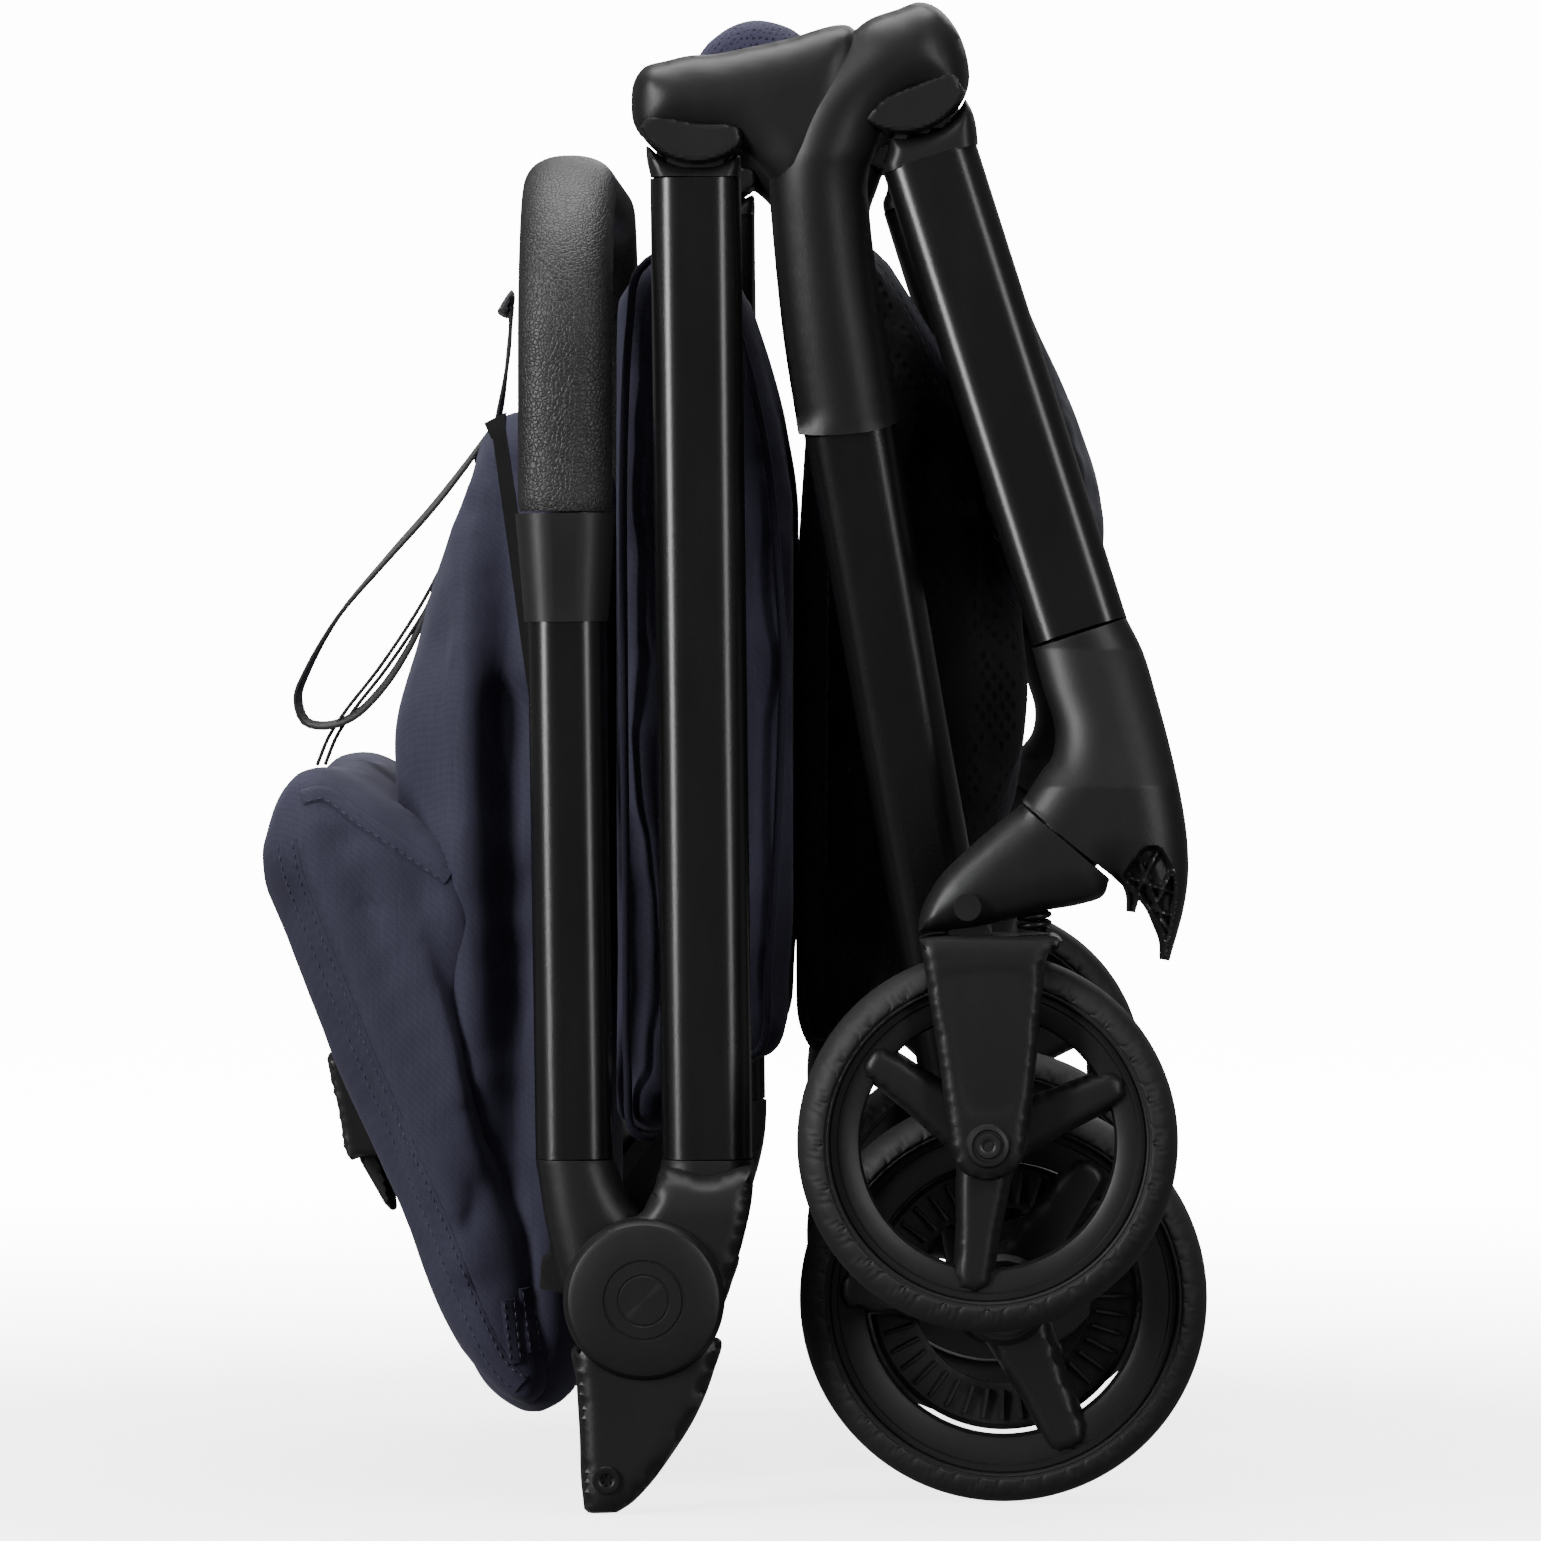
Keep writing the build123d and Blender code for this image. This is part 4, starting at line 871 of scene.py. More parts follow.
BASE_TOP = at(HB, [(-25.2, 129.4), (-27.1, 120.5), (-30.6, 113.6), (-32.0, 110.6), (-25.0, 110.2), (-13.9, 107.2), (-4.5, 97.3), (-0.6, 87.3), (4.0, 96.6), (7.7, 111.0), (8.8, 120.5), (9.0, 129.4)])
o = pillow("hinge_base_housing_right", BASE_TOP, Y_T, 0.0120, 0.0120, M["plastic"], 0.0018, corner={0, 3, 7, 11}, open_z=lambda p: p[1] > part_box("hinge_base_right")[1].z - 0.0008)
SKIRT = at(HB, [(-24.6, 127.0), (-27.8, 119.4), (-32.0, 111.3), (-43.0, 104.2), (-51.1, 92.9), (-43.8, 79.0), (-25.4, 68.1), (-8.3, 68.1), (-3.0, 74.3), (-0.2, 83.6), (4.4, 97.3), (7.7, 111.7), (8.5, 121.3), (8.0, 127.4), (-8.5, 124.0)])


def skirt_lean(P):
    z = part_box("hinge_base_right")[1].z
    t = np.clip((P[:, 1] - (z - 0.020)) / 0.020, 0, 1)
    return t * t * 0.0085


join(o, pillow("tmp", SKIRT, 0.2008, 0.0052, 0.0054, M["plastic"], 0.0018, power=2.0, lean=skirt_lean))
disc = [(0.00005, -0.0080), (DR - 0.0007, -0.0080), (DR, -0.0070), (DR, 0.0040), (DR - 0.0006, 0.0060), (DR - 0.0020, 0.0076), (DR - 0.0040, 0.0083),
        (0.0150, 0.0085), (0.0147, 0.0081), (0.0142, 0.0081), (0.0139, 0.0085), (0.0098, 0.0086), (0.0095, 0.0083), (0.0091, 0.0083), (0.0088, 0.0086), (0.00005, 0.0086)]
join(o, solid_lathe("tmp", HX, out("hinge_covers") - 0.0086, disc, M["plastic"], 144, 28))
both(o, 0, 0, "push_frame", "push_frame", [HB, "hinge_covers"], ["hinge_base_left", "hinge_covers"])
HORN = at("stand_feet", [(-57.6, 61.0), (-56.4, 50.0), (-55.6, 38.0), (-55.0, 27.5), (-54.6, 12.8), (-53.4, 1.6), (-51.9, 0.2), (-46.7, 0.0), (-41.4, 0.2), (-36.0, 3.6), (-28.3, 11.6), (-20.2, 22.8), (-13.6, 33.2), (-8.9, 42.9), (-5.5, 52.5), (-2.9, 64.0), (-14.3, 65.2), (-40.7, 65.0)])
o = pillow("stand_foot_right", HORN, out("stand_feet") - 0.0058, 0.0057, 0.0052, M["plastic"], 0.0018, power=2.2, corner={5, 8})
both(o, 0, 0, "push_frame", "push_frame", ["stand_feet"], ["stand_feet"])
flo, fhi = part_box("foot_screws")
o = screw("stand_foot_screw_right", ((flo.x + fhi.x) / 2, (flo.z + fhi.z) / 2), out("foot_screws") - 0.0006, (fhi.x - flo.x) / 2)
both(o, 0, 0, "push_frame", "push_frame", ["foot_screws"], ["foot_screws"])

# ------------------------------------------------------------------ handle grip
glo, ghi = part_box("handle_grip_sides")
GXC = (glo.x + ghi.x) / 2
GZT = ghi.z - 0.0135
CR = 0.062


def u_path(x, z0, ztop, corner, yt):
    pts = [(x, -yt, z0 + (ztop - corner - z0) * t) for t in np.linspace(0, 1, 26)]
    for t in np.linspace(0, math.pi / 2, 22)[1:]:
        pts.append((x, -yt + corner * (1 - math.cos(t)), ztop - corner + corner * math.sin(t)))
    mids = [(x, y, ztop) for y in np.linspace(-yt + corner, yt - corner, 40)[1:-1]]
    return pts + mids + [(p[0], -p[1], p[2]) for p in reversed(pts)]


gp = u_path(GXC, glo.z + 0.0002, GZT, CR, Y_T)


def grip_ring(t):
    e = min(t, 1 - t)
    k = 1.0 - 0.05 * math.exp(-(e / 0.006) ** 2)
    return [(b * k, a * k) for a, b in superellipse(0.0175, 0.01345, 2.35, 48)]


o = sweep_tube("handle_grip_leather", gp, grip_ring, M["leather"], up=Vector((1, 0, 0)))
put(o, "handle", ["handle_grip_sides", "handle_grip_top"])
seam = [(p[0] + 0.0150, p[1], p[2]) for p in gp]
sm = [(p[0], p[1] + math.copysign(0.0078, -p[1]) * 0 , p[2]) for p in seam]
o = sweep_tube("handle_grip_seam", [(x + 0.0012, y, z) for x, y, z in sm], lambda t: superellipse(0.0010, 0.0010, 2, 8), M["leather"], up=Vector((1, 0, 0)))
put(o, "handle", [])
tlo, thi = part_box("fold_trigger")


# ------------------------------------------------------------------ soft goods
def soft_body(name, pts, y_half, R, mat, voxel=0.005, step=0.004, waist=0.0):
    """A closed body: the side outline carried across, drawn in towards its ends; an even mesh."""
    rim = catmull(pts, step, True)
    nxt, prv = np.roll(rim, -1, 0), np.roll(rim, 1, 0)
    t = nxt - prv
    t /= np.linalg.norm(t, axis=1)[:, None]
    area = 0.5 * np.sum(rim[:, 0] * nxt[:, 1] - nxt[:, 0] * rim[:, 1])
    n = np.stack([-t[:, 1], t[:, 0]], 1) * (1 if area > 0 else -1)
    ys = [y_half - R + R * math.sin(a) for a in np.linspace(0, math.pi / 2 * 0.97, 9)]
    flat = list(np.linspace(0, y_half - R, 14)[:-1])
    stations = [-y for y in reversed(ys)] + [-y for y in reversed(flat)] + flat[1:] + ys
    V, F = [], []
    for y in stations:
        e = max(0.0, abs(y) - (y_half - R)) / R
        d = R * (1 - math.sqrt(max(0.0, 1 - e * e))) * 0.8 + waist * (y / y_half) ** 2
        q = rim + n * d
        V += [(p[0], y, p[1]) for p in q]
    k = len(rim)
    for i in range(len(stations) - 1):
        for j in range(k):
            jj = (j + 1) % k
            F.append((i * k + j, i * k + jj, (i + 1) * k + jj, (i + 1) * k + j))
    for row in (0, len(stations) - 1):
        c = len(V)
        ring = np.array(V[row * k:(row + 1) * k])
        V.append(tuple(ring.mean(0) + np.array((0, math.copysign(0.0015, stations[row]), 0))))
        for j in range(k):
            F.append((row * k + j, row * k + (j + 1) % k, c))
    o = obj_from(name, V, F, mat)
    m = o.modifiers.new("even", "REMESH")
    m.mode = "VOXEL"
    m.voxel_size = voxel
    return apply_all(o)


def plump(o, pressure=4.0, cap=0.008, stiff=12.0, shrink=0.0, frames=20, pin=None):
    """Runs the cloth under inner pressure, keeps the result within cap of the start."""
    start = points_of(o)
    m = o.modifiers.new("cloth", "CLOTH")
    s = m.settings
    s.quality = 5
    s.mass = 0.25
    s.tension_stiffness = stiff
    s.compression_stiffness = stiff
    s.shear_stiffness = 4
    s.bending_stiffness = 0.4
    s.air_damping = 2
    s.use_pressure = True
    s.uniform_pressure_force = pressure
    s.shrink_min = shrink
    s.effector_weights.gravity = 0
    m.collision_settings.use_collision = False
    m.point_cache.frame_start = 1
    m.point_cache.frame_end = frames
    if pin is not None:
        g = o.vertex_groups.new(name="pin")
        g.add([int(i) for i in np.nonzero(pin(start))[0]], 1.0, "REPLACE")
        s.vertex_group_mass = "pin"
    for f in range(1, frames + 1):
        bpy.context.scene.frame_set(f)
    apply_all(o)
    bpy.context.scene.frame_set(1)
    end = points_of(o)
    d = end - start
    L = np.linalg.norm(d, axis=1)
    end = start + d * np.minimum(1, cap / np.maximum(L, 1e-9))[:, None]
    set_points(o, end)
    return o


def fold_lines(o, lines, side_only=True, noise_amp=0.0, noise_scale=18.0, seed=0.0, extra=None):
    """Ridges (positive) and valleys (negative) pushed along the normals.
    Each line: side-view points in metres, amplitude, width."""
    P, Nn = points_of(o), normals_of(o)
    q = P[:, [0, 2]]
    d = np.zeros(len(P))
    w = np.clip((np.abs(Nn[:, 1]) - 0.15) / 0.45, 0, 1) if side_only else 1.0
    for pts, amp, width in lines:
        c = catmull(pts, 0.006, False)
        dd = dist_to(q, c[:-1], c[1:])
        L = np.concatenate([[0], np.cumsum(np.linalg.norm(np.diff(c, axis=0), axis=1))])
        k = np.argmin(np.linalg.norm(q[:, None, :] - c[None, ::3, :], axis=2), axis=1) * 3
        s = L[np.minimum(k, len(L) - 1)] / L[-1]
        d += amp * np.exp(-(dd / width) ** 2) * np.clip(np.sin(np.pi * np.clip(s, 0.03, 0.97)) * 2.2, 0, 1) * w
    if noise_amp:
        d += np.array([noise.fractal(Vector((p[0] * noise_scale + seed, p[1] * noise_scale * 0.8, p[2] * noise_scale * 0.45)), 0.9, 2.1, 4) for p in P]) * noise_amp
    if extra is not None:
        d += extra(P, Nn)
    set_points(o, P + Nn * d[:, None])
    return o


def relax(o, k=2, f=0.5):
    bm = bmesh.new()
    bm.from_mesh(o.data)
    for _ in range(k):
        bmesh.ops.smooth_vert(bm, verts=bm.verts, factor=f, use_axis_x=True, use_axis_y=True, use_axis_z=True)
    bm.to_mesh(o.data)
    bm.free()
    return o


def subdiv(o, n=1):
    m = o.modifiers.new("sub", "SUBSURF")
    m.levels = m.render_levels = n
    return apply_all(o)


def keep_in(o, node, grow=0.004, floor=None):
    """Holds the cloth within its CAD node's box."""
    lo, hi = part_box(node)
    P = points_of(o)
    for i in range(3):
        P[:, i] = np.clip(P[:, i], lo[i] - grow, hi[i] + grow)
    set_points(o, P)
    return o


def piping(name, pts, y, r, mat, body, closed=True, both_sides=True):
    c = catmull(pts, 0.004, closed)
    path = [(p[0], -y, p[1]) for p in c]
    o = sweep_tube(name, path, lambda t: superellipse(r, r, 2, 10), mat, closed=closed, up=Vector((0, 1, 0)))
    put(o, body, [])
    if both_sides:
        c2 = flip(o, name + "_left")
        put(c2, body, [])
    return o


def stitches(name, pts3, nrm, length, gap, r, body):
    """Short thread stitches lying on a surface, as one piece."""
    P, Nn = np.array(pts3, float), np.array(nrm, float)
    L = np.concatenate([[0], np.cumsum(np.linalg.norm(np.diff(P, axis=0), axis=1))])
    V, F = [], []
    s = gap
    while s + length < L[-1]:
        q = [np.array([np.interp(s + length * f, L, P[:, i]) for i in range(3)]) for f in (0, 0.5, 1)]
        n = np.array([np.interp(s + length / 2, L, Nn[:, i]) for i in range(3)])
        t = q[2] - q[0]
        t /= max(np.linalg.norm(t), 1e-9)
        n = n - (n @ t) * t
        n /= max(np.linalg.norm(n), 1e-9)
        u = np.cross(t, n)
        k0 = len(V)
        for c, rr, up in ((q[0], 0.5, -0.3), (q[1], 1.0, 0.55), (q[2], 0.5, -0.3)):
            for j in range(6):
                an = math.pi * j / 3
                V.append(c + n * r * up + (u * math.cos(an) + n * math.sin(an)) * r * rr)
        for i in range(2):
            for j in range(6):
                e = (j + 1) % 6
                F.append((k0 + i * 6 + j, k0 + i * 6 + e, k0 + (i + 1) * 6 + e, k0 + (i + 1) * 6 + j))
        F.append(tuple(k0 + j for j in range(5, -1, -1)))
        F.append(tuple(k0 + 12 + j for j in range(6)))
        s += length + gap
    if not F:
        return None
    return put(obj_from(name, V, F, M["thread"], True), body, [])


def band(name, target, pts, side, width, thick, mat, body, rows=(0.36,)):
    """A hem or tape that follows the cloth under it, with rows of stitching."""
    from mathutils.bvhtree import BVHTree
    me = target.data
    tree = BVHTree.FromPolygons([v.co for v in me.vertices], [tuple(f.vertices) for f in me.polygons])
    c = catmull(pts, 0.003, False)
    t = np.gradient(c, axis=0)
    t /= np.linalg.norm(t, axis=1)[:, None]
    n2 = np.stack([-t[:, 1], t[:, 0]], 1)
    cols = np.linspace(-0.5, 0.5, 7)
    rows3, V, F = {}, [], []
    last = None
    good = []
    for i in range(len(c)):
        line = []
        for f in cols:
            x, z = c[i] + n2[i] * f * width
            hit = tree.ray_cast(Vector((x, side * 0.5, z)), Vector((0, -side, 0)))
            if hit[0] is None or abs(hit[1].y) < 0.2:
                line = None
                break
            line.append((np.array(hit[0]), np.array(hit[1])))
        if line is not None:
            good.append(line)
    if len(good) < 4:
        return None
    k = len(cols)
    for line in good:
        for j, (q, nn) in enumerate(line):
            e = abs(cols[j]) * 2
            V.append(q + nn * (thick if e < 0.95 else thick * 0.15))
    for line in good:
        for j, (q, nn) in enumerate(line):
            V.append(q - nn * 0.0006)
    m = len(good)
    for i in range(m - 1):
        for j in range(k - 1):
            F.append((i * k + j, i * k + j + 1, (i + 1) * k + j + 1, (i + 1) * k + j))
            o0 = m * k
            F.append((o0 + (i + 1) * k + j, o0 + (i + 1) * k + j + 1, o0 + i * k + j + 1, o0 + i * k + j))
        for j in (0, k - 1):
            F.append((i * k + j, (i + 1) * k + j, m * k + (i + 1) * k + j, m * k + i * k + j))
    for i in (0, m - 1):
        for j in range(k - 1):
            F.append((i * k + j, i * k + j + 1, m * k + i * k + j + 1, m * k + i * k + j))
    o = put(obj_from(name, V, F, mat, True, 60), body, [])
    for r, f in enumerate(rows):
        P = [line[int(round((f + 0.5) * (k - 1)))][0] + line[int(round((f + 0.5) * (k - 1)))][1] * (thick + 0.00005) for line in good]
        stitches("%s_stitch_%d" % (name, r), P, [line[int(round((f + 0.5) * (k - 1)))][1] for line in good], 0.0026, 0.0012, 0.00028, body)
    return o


# Canopy: the gathered hood and its flared visor.
CN = "canopy"
ch = out(CN)
MAIN = at(CN, [(-81.0, 405.5), (-86.0, 400.0), (-93.0, 380.9), (-103.3, 347.3), (-113.2, 317.5), (-119.5, 292.0), (-121.0, 250.0), (-118.0, 200.0), (-112.0, 150.0), (-104.0, 100.0), (-95, 60), (-87.0, 40.0), (-80, 34), (-69.5, 31.5),
               (-60.0, 40.0), (-55.5, 62), (-53.5, 90), (-53.0, 150), (-51.5, 250), (-51.5, 340), (-60.5, 392)])
o = soft_body("canopy_hood", MAIN, ch - 0.010, 0.030, M["navy"], 0.0055, 0.005)
o = plump(o, 3.0, 0.007, 8.0, -0.04, 16)
F1 = [([(-92, 392), (-97, 330), (-99, 260), (-96, 190), (-90, 120)], 0.0105, 0.0095),
      ([(-84, 396), (-84, 330), (-82, 250), (-80, 170), (-80, 90)], -0.0105, 0.0065),
      ([(-76, 396), (-73, 330), (-72, 250), (-71, 170), (-70, 90)], 0.0060, 0.0080),
      ([(-66, 380), (-63, 320), (-62, 240), (-62, 160)], -0.0050, 0.0055),
      ([(-104, 335), (-108, 290), (-108, 240)], -0.0025, 0.0050),
      ([(-104, 130), (-95, 90), (-85, 55)], 0.0050, 0.0070),
      ([(-94, 130), (-84, 85), (-77, 50)], -0.0050, 0.0055)]
o = fold_lines(o, [(at(CN, p), a, w) for p, a, w in F1], True, 0.0022, 22.0, 3.1,
               lambda P, Nn: 0.0012 * np.sin(P[:, 2] * 2 * math.pi / 0.058 + 3.0 * np.cos(P[:, 1] * 9)) * np.clip(-Nn[:, 0], 0, 1) * np.clip(1 - (np.abs(P[:, 1]) / 0.14) ** 4, 0, 1))
o = relax(o, 2, 0.4)
o = keep_in(o, CN, 0.002)
o = subdiv(o, 1)
put(o, "canopy", ["canopy"])
VISOR = at(CN, [(-170.5, 262.5), (-164.0, 270.0), (-155.0, 271.0), (-140.0, 262.0), (-120.0, 249.0), (-103.0, 238.0), (-96.0, 222.0), (-93.0, 190.0), (-88.0, 150.0), (-80.0, 105.0), (-74.0, 70.0), (-70.0, 44.0), (-73.5, 34.0), (-82, 33.5), (-93.0, 44.5),
                (-104, 66.5), (-119.0, 104.7), (-132.0, 134.5), (-145.6, 164.4), (-157.0, 192.0), (-166.6, 218.5), (-176.6, 238.3), (-175.0, 250.0)])
v = soft_body("canopy_visor", VISOR, ch - 0.0035, 0.016, M["navy"], 0.0055, 0.005)
v = plump(v, 3.0, 0.006, 8.0, -0.03, 16)
F2 = [([(-158, 262), (-146, 220), (-126, 165), (-104, 110), (-90, 62)], 0.0105, 0.0085),
      ([(-150, 258), (-136, 222), (-116, 165), (-97, 110), (-84, 62)], -0.0105, 0.0060),
      ([(-140, 252), (-122, 205), (-104, 150), (-90, 100), (-80, 60)], 0.0090, 0.0070),
      ([(-122, 242), (-108, 200), (-96, 155), (-86, 110)], -0.0060, 0.0055),
      ([(-165, 240), (-150, 205), (-132, 160), (-116, 120)], -0.0040, 0.0045),
      ([(-108, 232), (-100, 200), (-92, 160)], 0.0050, 0.0060)]
v = fold_lines(v, [(at(CN, p), a, w) for p, a, w in F2], True, 0.0020, 22.0, 8.7,
               lambda P, Nn: 0.0010 * np.sin(P[:, 2] * 2 * math.pi / 0.070 + 2.6 * np.cos(P[:, 1] * 10)) * np.clip(-Nn[:, 0], 0, 1) * np.clip(1 - (np.abs(P[:, 1]) / 0.14) ** 4, 0, 1))
v = relax(v, 2, 0.4)
v = keep_in(v, CN, 0.003)
v = subdiv(v, 1)
put(v, "canopy", ["canopy"])
HEMS = [(-167.0, 246.0), (-164.0, 232.0), (-157.5, 214.0), (-148.0, 191.0), (-137.0, 164.0), (-123.5, 133.0), (-110.5, 103.5), (-96.0, 67.0), (-86.0, 48.0), (-79.0, 42.0)]
TOPS = [(-160.5, 262.0), (-153.0, 263.5), (-139.0, 254.0), (-121.0, 242.0), (-106.0, 232.0)]
HB1 = [(-98.0, 60.0), (-88.0, 56.0), (-78.0, 54.0)]
for sd, nm in ((-1, "right"), (1, "left")):
    band("visor_hem_" + nm, v, at(CN, HEMS), sd, 0.0085, 0.0009, M["navy"], "canopy", rows=(-0.333, 0.333))
    band("visor_brim_" + nm, v, at(CN, TOPS), sd, 0.0060, 0.0008, M["navy"], "canopy", rows=(-0.333,))
    for q, (xa, za) in enumerate(((-84.0, 74.0), (-77.5, 78.0))):
        band("hood_loop_%d_%s" % (q, nm), v, at(CN, [(xa, za), (xa + 1.4, za - 12), (xa + 3.2, za - 24)]), sd, 0.0052, 0.0010, M["navy_dark"], "canopy", rows=(-0.333, 0.333))

# Backrest.
BN = "backrest"
bh = out(BN)
BKP = [(-35.4, 461), (-39.2, 440), (-41.6, 395), (-41.6, 310), (-40.8, 224), (-40.2, 160), (-37.4, 135), (-26.0, 134), (-22.4, 147), (-20.8, 163.2),
       (0, 164), (11.4, 166), (15.2, 201), (18.0, 239), (20.0, 284), (20.7, 314), (19.6, 336), (15.2, 385), (8.6, 418), (0.2, 446), (-8.6, 465), (-20, 469)]
BK = at(BN, BKP)
b = soft_body("backrest_pad", BK, bh - 0.003, 0.018, M["navy"], 0.0055, 0.005)
b = plump(b, 4.0, 0.006, 10.0, -0.02, 16)
F3 = [([(-36, 455), (-38.5, 380), (-38, 300), (-37, 200)], 0.0030, 0.0050), ([(14, 380), (17, 300), (14, 220), (9, 180)], 0.003, 0.005),
      ([(-34, 240), (-33, 190), (-32, 150)], -0.0035, 0.0035), ([(-38, 220), (-37, 180), (-36, 145)], 0.0035, 0.0035),
      ([(-32, 330), (-22, 280), (-16, 230)], -0.0045, 0.005), ([(-34, 300), (-26, 255), (-22, 200)], 0.004, 0.005), ([(-36, 260), (-30, 220), (-28, 180)], -0.004, 0.004),
      ([(4, 360), (6, 300), (2, 240)], -0.0035, 0.005)]
b = fold_lines(b, [(at(BN, p), a, w) for p, a, w in F3], True, 0.0012, 26.0, 1.7,
               lambda P, Nn: -0.0035 * np.exp(-((np.abs(P[:, 1]) - 0.062) / 0.004) ** 2) - 0.0030 * sum(np.exp(-((P[:, 2] - z) / 0.0035) ** 2) for z in (0.235, 0.305, 0.375, 0.430)) * (np.abs(P[:, 1]) < 0.062))
b = keep_in(relax(b, 1, 0.4), BN, 0.001)
b = subdiv(b, 1)
put(b, "push_frame", [BN])
piping("backrest_piping_right", at(BN, [(-11 + (x + 11) * 0.955, 310 + (z - 310) * 0.990) for x, z in BKP]), bh - 0.0055, 0.0016, M["navy_dark"], "push_frame")

# Seat crest over the side joints.
SN = "seat_cushion"
CR2 = at(SN, [(-14.4, 538), (-10, 544.5), (-3, 549.2), (5, 552.2), (14, 552.0), (22, 549.3), (30, 542.6), (32.4, 533), (30, 526), (24, 524), (6, 525), (-3, 522), (-12, 527.0)])
s = soft_body("seat_crest", CR2, out(SN) - 0.002, 0.014, M["pad"], 0.0045, 0.004)
s = plump(s, 4.0, 0.005, 10.0, 0.0, 16)
s = fold_lines(s, [], False, 0.0010, 30.0, 5.0, lambda P, Nn: -0.0020 * sum(np.exp(-((np.abs(P[:, 1]) - y) / 0.004) ** 2) for y in (0.045, 0.100)))
s = subdiv(keep_in(s, SN, 0.001), 1)
put(s, "rear_frame", [SN])

# Leg rest between the front legs.
LN = "leg_rest"
LR = at(LN, [(75.5, 485), (82, 490), (89, 490.5), (99, 468), (111, 440), (127, 404), (136, 372), (138.0, 352), (133, 343.5), (128.5, 339.5), (127.4, 346), (127.5, 353), (123, 359.6), (115, 360.6), (108.5, 357.5), (103.6, 361), (93, 395), (81, 440)])
l = soft_body("leg_rest_pad", LR, out(LN) - 0.003, 0.012, M["black_cloth"], 0.0050, 0.0045)
l = plump(l, 4.0, 0.003, 10.0, -0.02, 14)
F4 = [([(88, 478), (101, 440), (116, 400)], -0.0050, 0.0045), ([(84, 462), (94, 425), (105, 385)], 0.0045, 0.0050), ([(112, 430), (124, 395), (131, 365)], 0.0045, 0.005)]
l = fold_lines(l, [(at(LN, p), a, w) for p, a, w in F4], True, 0.0016, 30.0, 9.0)
l = subdiv(keep_in(l, LN, 0.0005), 1)
put(l, "front_frame", [LN])

# Basket: a mesh bag gathered under the seat.
KN = "basket"
BS = at(KN, [(49.5, 468.5), (43.5, 447), (34.2, 400), (29, 336), (27, 260), (25, 202), (28, 168), (36, 163.5), (55, 187), (73, 215), (93, 239.5), (105, 263), (110.8, 296), (107, 329), (96, 349), (87, 384), (73, 429), (59.5, 453)])
k = soft_body("basket_bag", BS, out(KN) - 0.002, 0.022, M["black_mesh"], 0.0055, 0.005)
k = plump(k, 2.0, 0.005, 8.0, -0.05, 14)
F5 = [([(48, 440), (38, 380), (34, 320), (32, 250), (32, 200)], 0.0050, 0.0060), ([(56, 440), (48, 380), (42, 320), (40, 250)], -0.0070, 0.0050), ([(64, 430), (58, 370), (54, 310), (50, 240)], 0.0070, 0.0060),
      ([(74, 400), (72, 340), (68, 270)], -0.0070, 0.0050), ([(84, 380), (86, 330), (84, 270)], 0.0070, 0.0060), ([(94, 345), (98, 300), (94, 260)], -0.0060, 0.0050), ([(104, 320), (106, 290), (101, 262)], 0.005, 0.005),
      ([(30, 215), (44, 205), (56, 212)], -0.0050, 0.0045), ([(28, 190), (40, 182), (52, 195)], 0.0045, 0.0045)]
k = fold_lines(k, [(at(KN, p), a, w) for p, a, w in F5], True, 0.0025, 24.0, 6.3)
k = keep_in(relax(k, 1, 0.4), KN, 0.0005)
k = subdiv(k, 1)
put(k, "rear_frame", [KN])

g_ = soft_body("basket_front_panel", at(KN, [(34, 462), (42, 456), (44, 430), (38, 380), (36, 300), (36, 220), (38, 170), (31, 166), (27.5, 180), (24.5, 200), (23.0, 260), (23.2, 300), (23.6, 336), (26.0, 380), (29.0, 420), (32.0, 446)]), out(KN) + 0.002, 0.006, M["black_mesh"], 0.0050, 0.005)
put(subdiv(relax(g_, 1, 0.4), 1), "rear_frame", [])

# ------------------------------------------------------------------ webbing, adjusters, buckle
def ribbon(name, pts, y, w, t, mat, body, nodes=(), twist=0.0, step=0.003, roll=0.0):
    c = catmull(pts, step, False)
    path = [(p[0], y, p[1]) for p in c]
    def sec(s):
        f = roll * math.sin(2 * math.pi * s + 0.6)
        return [(p * math.cos(f) - q * math.sin(f), p * math.sin(f) + q * math.cos(f)) for p, q in superellipse(t / 2, w / 2, 5, 24)]

    o = sweep_tube(name, path, sec, mat, up=Vector((0, 1, 0)))
    if twist:
        P = points_of(o)
        s = np.repeat(np.linspace(0, 1, len(c)), 24)
        P[:, 1] += twist * np.sin(np.pi * s)
        set_points(o, P)
    return put(o, body, nodes)


ST = "carry_strap"
LOOP = at(ST, [(-95.5, 402.5), (-106, 388), (-119, 371.5), (-138, 350), (-156, 328.5), (-168.0, 307.5), (-171.5, 297.4), (-168.5, 288.2), (-160.5, 286.5), (-150, 290.0), (-139, 300.5), (-127.5, 318.0), (-118.5, 338.0), (-108, 362), (-100.5, 386)])
ribbon("carry_strap_webbing", LOOP, 0.0, 0.0190, 0.0018, M["webbing"], "canopy", [ST], twist=-0.004, roll=0.13)
for dy, dx in ((-0.0040, 0.0), (0.0040, 2.6)):
    CORD = at(ST, [(-98 + dx, 390), (-110 + dx, 360), (-122 + dx, 336), (-139.0 + dx, 310), (-153 + dx, 292)]) + at(CN, [(-159.5 + dx, 282.0), (-164.0 + dx, 271)])
    ribbon("visor_tie_%s" % ("right" if dy < 0 else "left"), CORD, dy, 0.0044, 0.0014, M["webbing"], "canopy", [])
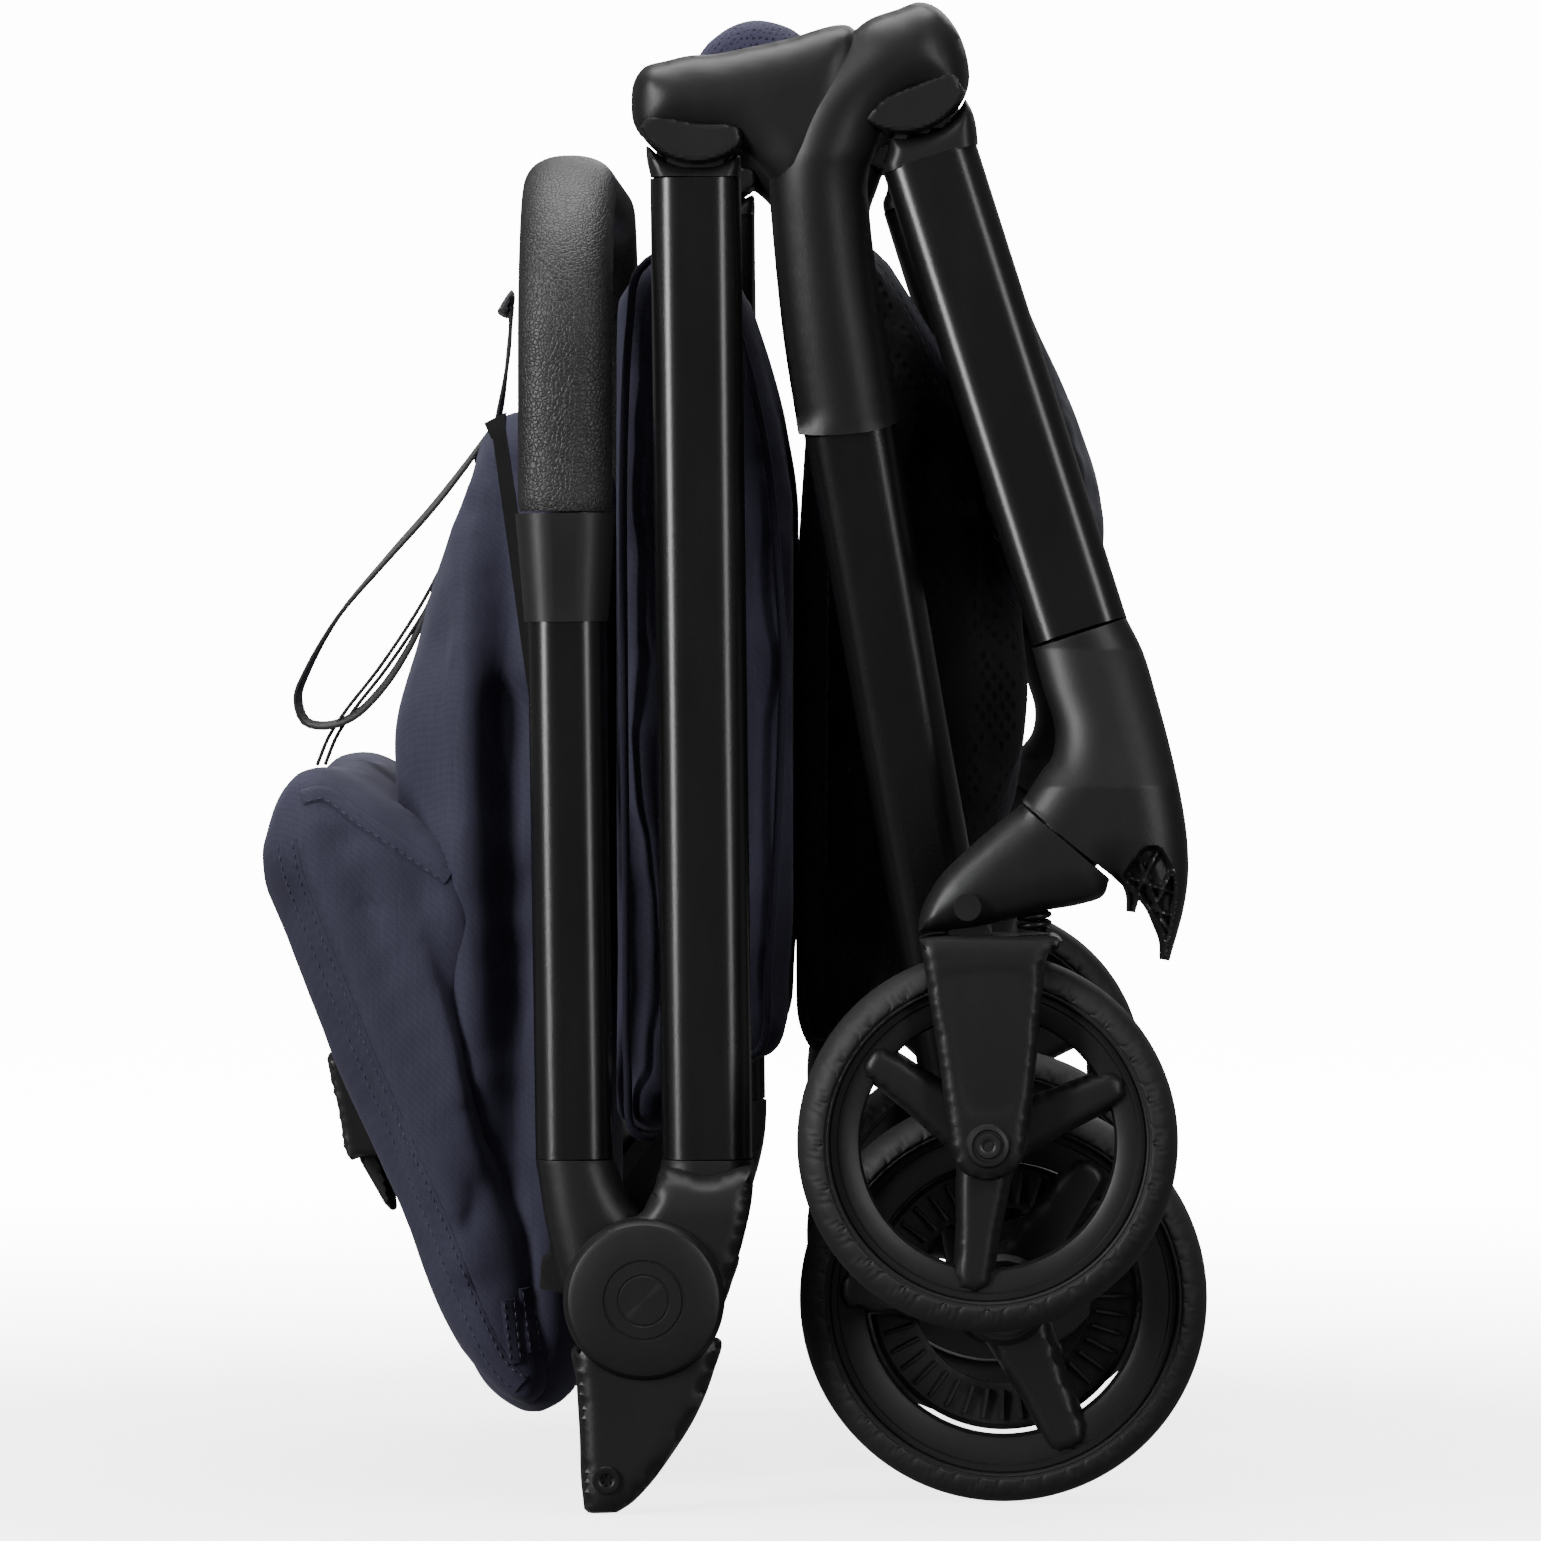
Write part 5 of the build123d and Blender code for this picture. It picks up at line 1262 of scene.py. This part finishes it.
ad = at("strap_adjuster", [(-94.6, 402.6), (-91, 402.6), (-89.3, 399.2), (-96.4, 387), (-98.2, 386.2), (-102.6, 388.8), (-102.4, 391.5)])
o = pillow("strap_adjuster_slide", ad, 0.0, 0.0138, 0.0018, M["plastic"], 0.0014, smooth_h=1)
put(o, "canopy", ["strap_adjuster"])
BKL = at("harness_buckle", [(-160.4, 156.2), (-160.0, 157.8), (-156.0, 160.6), (-140.0, 160.6), (-132.0, 141.0), (-124.0, 117.6), (-147.5, 117.6), (-150.4, 116.6), (-152.4, 118.0), (-156.2, 137.0)])
LVR = at("harness_buckle", [(-153.0, 132.4), (-148.0, 135.2), (-140.0, 124.0), (-133.2, 100.2), (-133.3, 97.6), (-135.0, 96.8), (-136.8, 98.2), (-142.6, 108.0), (-149.0, 119.6)])
o = pillow("harness_buckle_body", BKL, 0.0, 0.0218, 0.0026, M["plastic"], 0.0014, power=2.4, smooth_h=1, corner={5})
join(o, pillow("tmp", LVR, 0.0, 0.0125, 0.0020, M["plastic"], 0.0012, power=2.4, smooth_h=1))
TAB = [(-94.5, 400.0), (-91.2, 418.0), (-89.0, 436.0), (-88.2, 450.0)]
ribbon("carry_strap_top", at(ST, TAB), 0.0, 0.0130, 0.0016, M["webbing"], "canopy", [], roll=0.08)
e_ = pillow("carry_strap_tab", at(ST, [(-93.8, 447.4), (-92.6, 450.2), (-88.0, 456.4), (-86.9, 454.6), (-87.0, 451.0), (-89.2, 445.2)]), 0.0, 0.0075, 0.0012, M["webbing"], 0.0010, smooth_h=1)
put(e_, "canopy", [])
put(o, "canopy", ["harness_buckle"])

# ------------------------------------------------------------------ stage, light, camera
fm, nt, fb = new_mat("stage_paper")
sep = nt.nodes.new("ShaderNodeSeparateXYZ")
tc = nt.nodes.new("ShaderNodeTexCoord")
link(nt, tc.outputs["Object"], sep.inputs[0])
# The floor glows so it reads white; the glow is weaker near the middle, where the object stands, and rises to full
# strength about 1.5 m out: painted shade on the ground round the object.
flat = math_node(nt, "SQRT", math_node(nt, "ADD", math_node(nt, "MULTIPLY", sep.outputs["X"], sep.outputs["X"]), math_node(nt, "MULTIPLY", sep.outputs["Y"], sep.outputs["Y"])), 0.0)
far = math_node(nt, "MULTIPLY", math_node(nt, "SUBTRACT", flat, 0.35), 0.9)
link(nt, ramp(nt, tex_noise(nt, coords(nt), 0.8, 2), [(0.3, (0.86, 0.86, 0.86)), (0.7, (0.88, 0.88, 0.88))]), fb.inputs["Base Color"])
link(nt, ramp(nt, far, [(0.0, (0.24, 0.24, 0.24)), (1.0, (1.0, 1.0, 1.0))]), fb.inputs["Emission Color"])
fb.inputs["Emission Strength"].default_value = 14.0
fb.inputs["Roughness"].default_value = 0.9
V, F = [], []
prof = [(0.02, 0.0), (0.3, 0.0), (0.7, 0.0), (1.2, 0.0), (2.5, 0.0), (6.0, 0.0), (15.0, 0.0), (40.0, 0.0)] + [(40.0 + 5.0 * math.sin(a), 5.0 - 5.0 * math.cos(a)) for a in np.linspace(0.1, math.pi / 2, 10)] + [(45.0, 40.0)]
for r, z in prof:
    for k in range(96):
        V.append((r * math.cos(math.tau * k / 96), r * math.sin(math.tau * k / 96), z - 0.0002))
for i in range(len(prof) - 1):
    for k in range(96):
        e = (k + 1) % 96
        F.append((i * 96 + k, (i + 1) * 96 + k, (i + 1) * 96 + e, i * 96 + e))
F.append(tuple(range(96)))
floor = obj_from("stage_floor", V, F, fm)
floor.visible_shadow = False
floor.visible_diffuse = False
floor.visible_glossy = False

w = bpy.data.worlds.new("studio")
bpy.context.scene.world = w
w.use_nodes = True
w.node_tree.nodes["Background"].inputs["Color"].default_value = (1, 1, 1, 1)
w.node_tree.nodes["Background"].inputs["Strength"].default_value = 0.16


def area(name, loc, aim, size, power, color=(1, 1, 1)):
    l = bpy.data.lights.new(name, "AREA")
    l.shape = "RECTANGLE"
    l.size, l.size_y = size
    l.energy = power
    l.color = color
    o = bpy.data.objects.new(name, l)
    o.location = loc
    o.rotation_euler = (Vector(aim) - Vector(loc)).to_track_quat("-Z", "Y").to_euler()
    bpy.context.scene.collection.objects.link(o)


area("key_left", (-1.9, -1.7, 1.0), (0, 0, 0.3), (0.5, 1.8), 84)
area("fill_right", (1.7, -2.4, 0.9), (0, 0, 0.3), (0.5, 1.8), 30)
area("top", (0, 0.1, 2.3), (0, 0, 0.0), (2.0, 2.0), 84)
area("back", (0.6, 2.4, 1.6), (0, 0, 0.3), (1.6, 1.2), 14)

cam = bpy.data.cameras.new("camera")
co_ = bpy.data.objects.new("camera", cam)
bpy.context.scene.collection.objects.link(co_)
co_.location = (0.0559, -3.480, 0.3522)
co_.rotation_euler = (Vector((0.0128, 0, 0.2689)) - co_.location).to_track_quat("-Z", "Y").to_euler()
cam.lens = 208.4
cam.sensor_width = 36
cam.clip_end = 300
bpy.context.scene.camera = co_
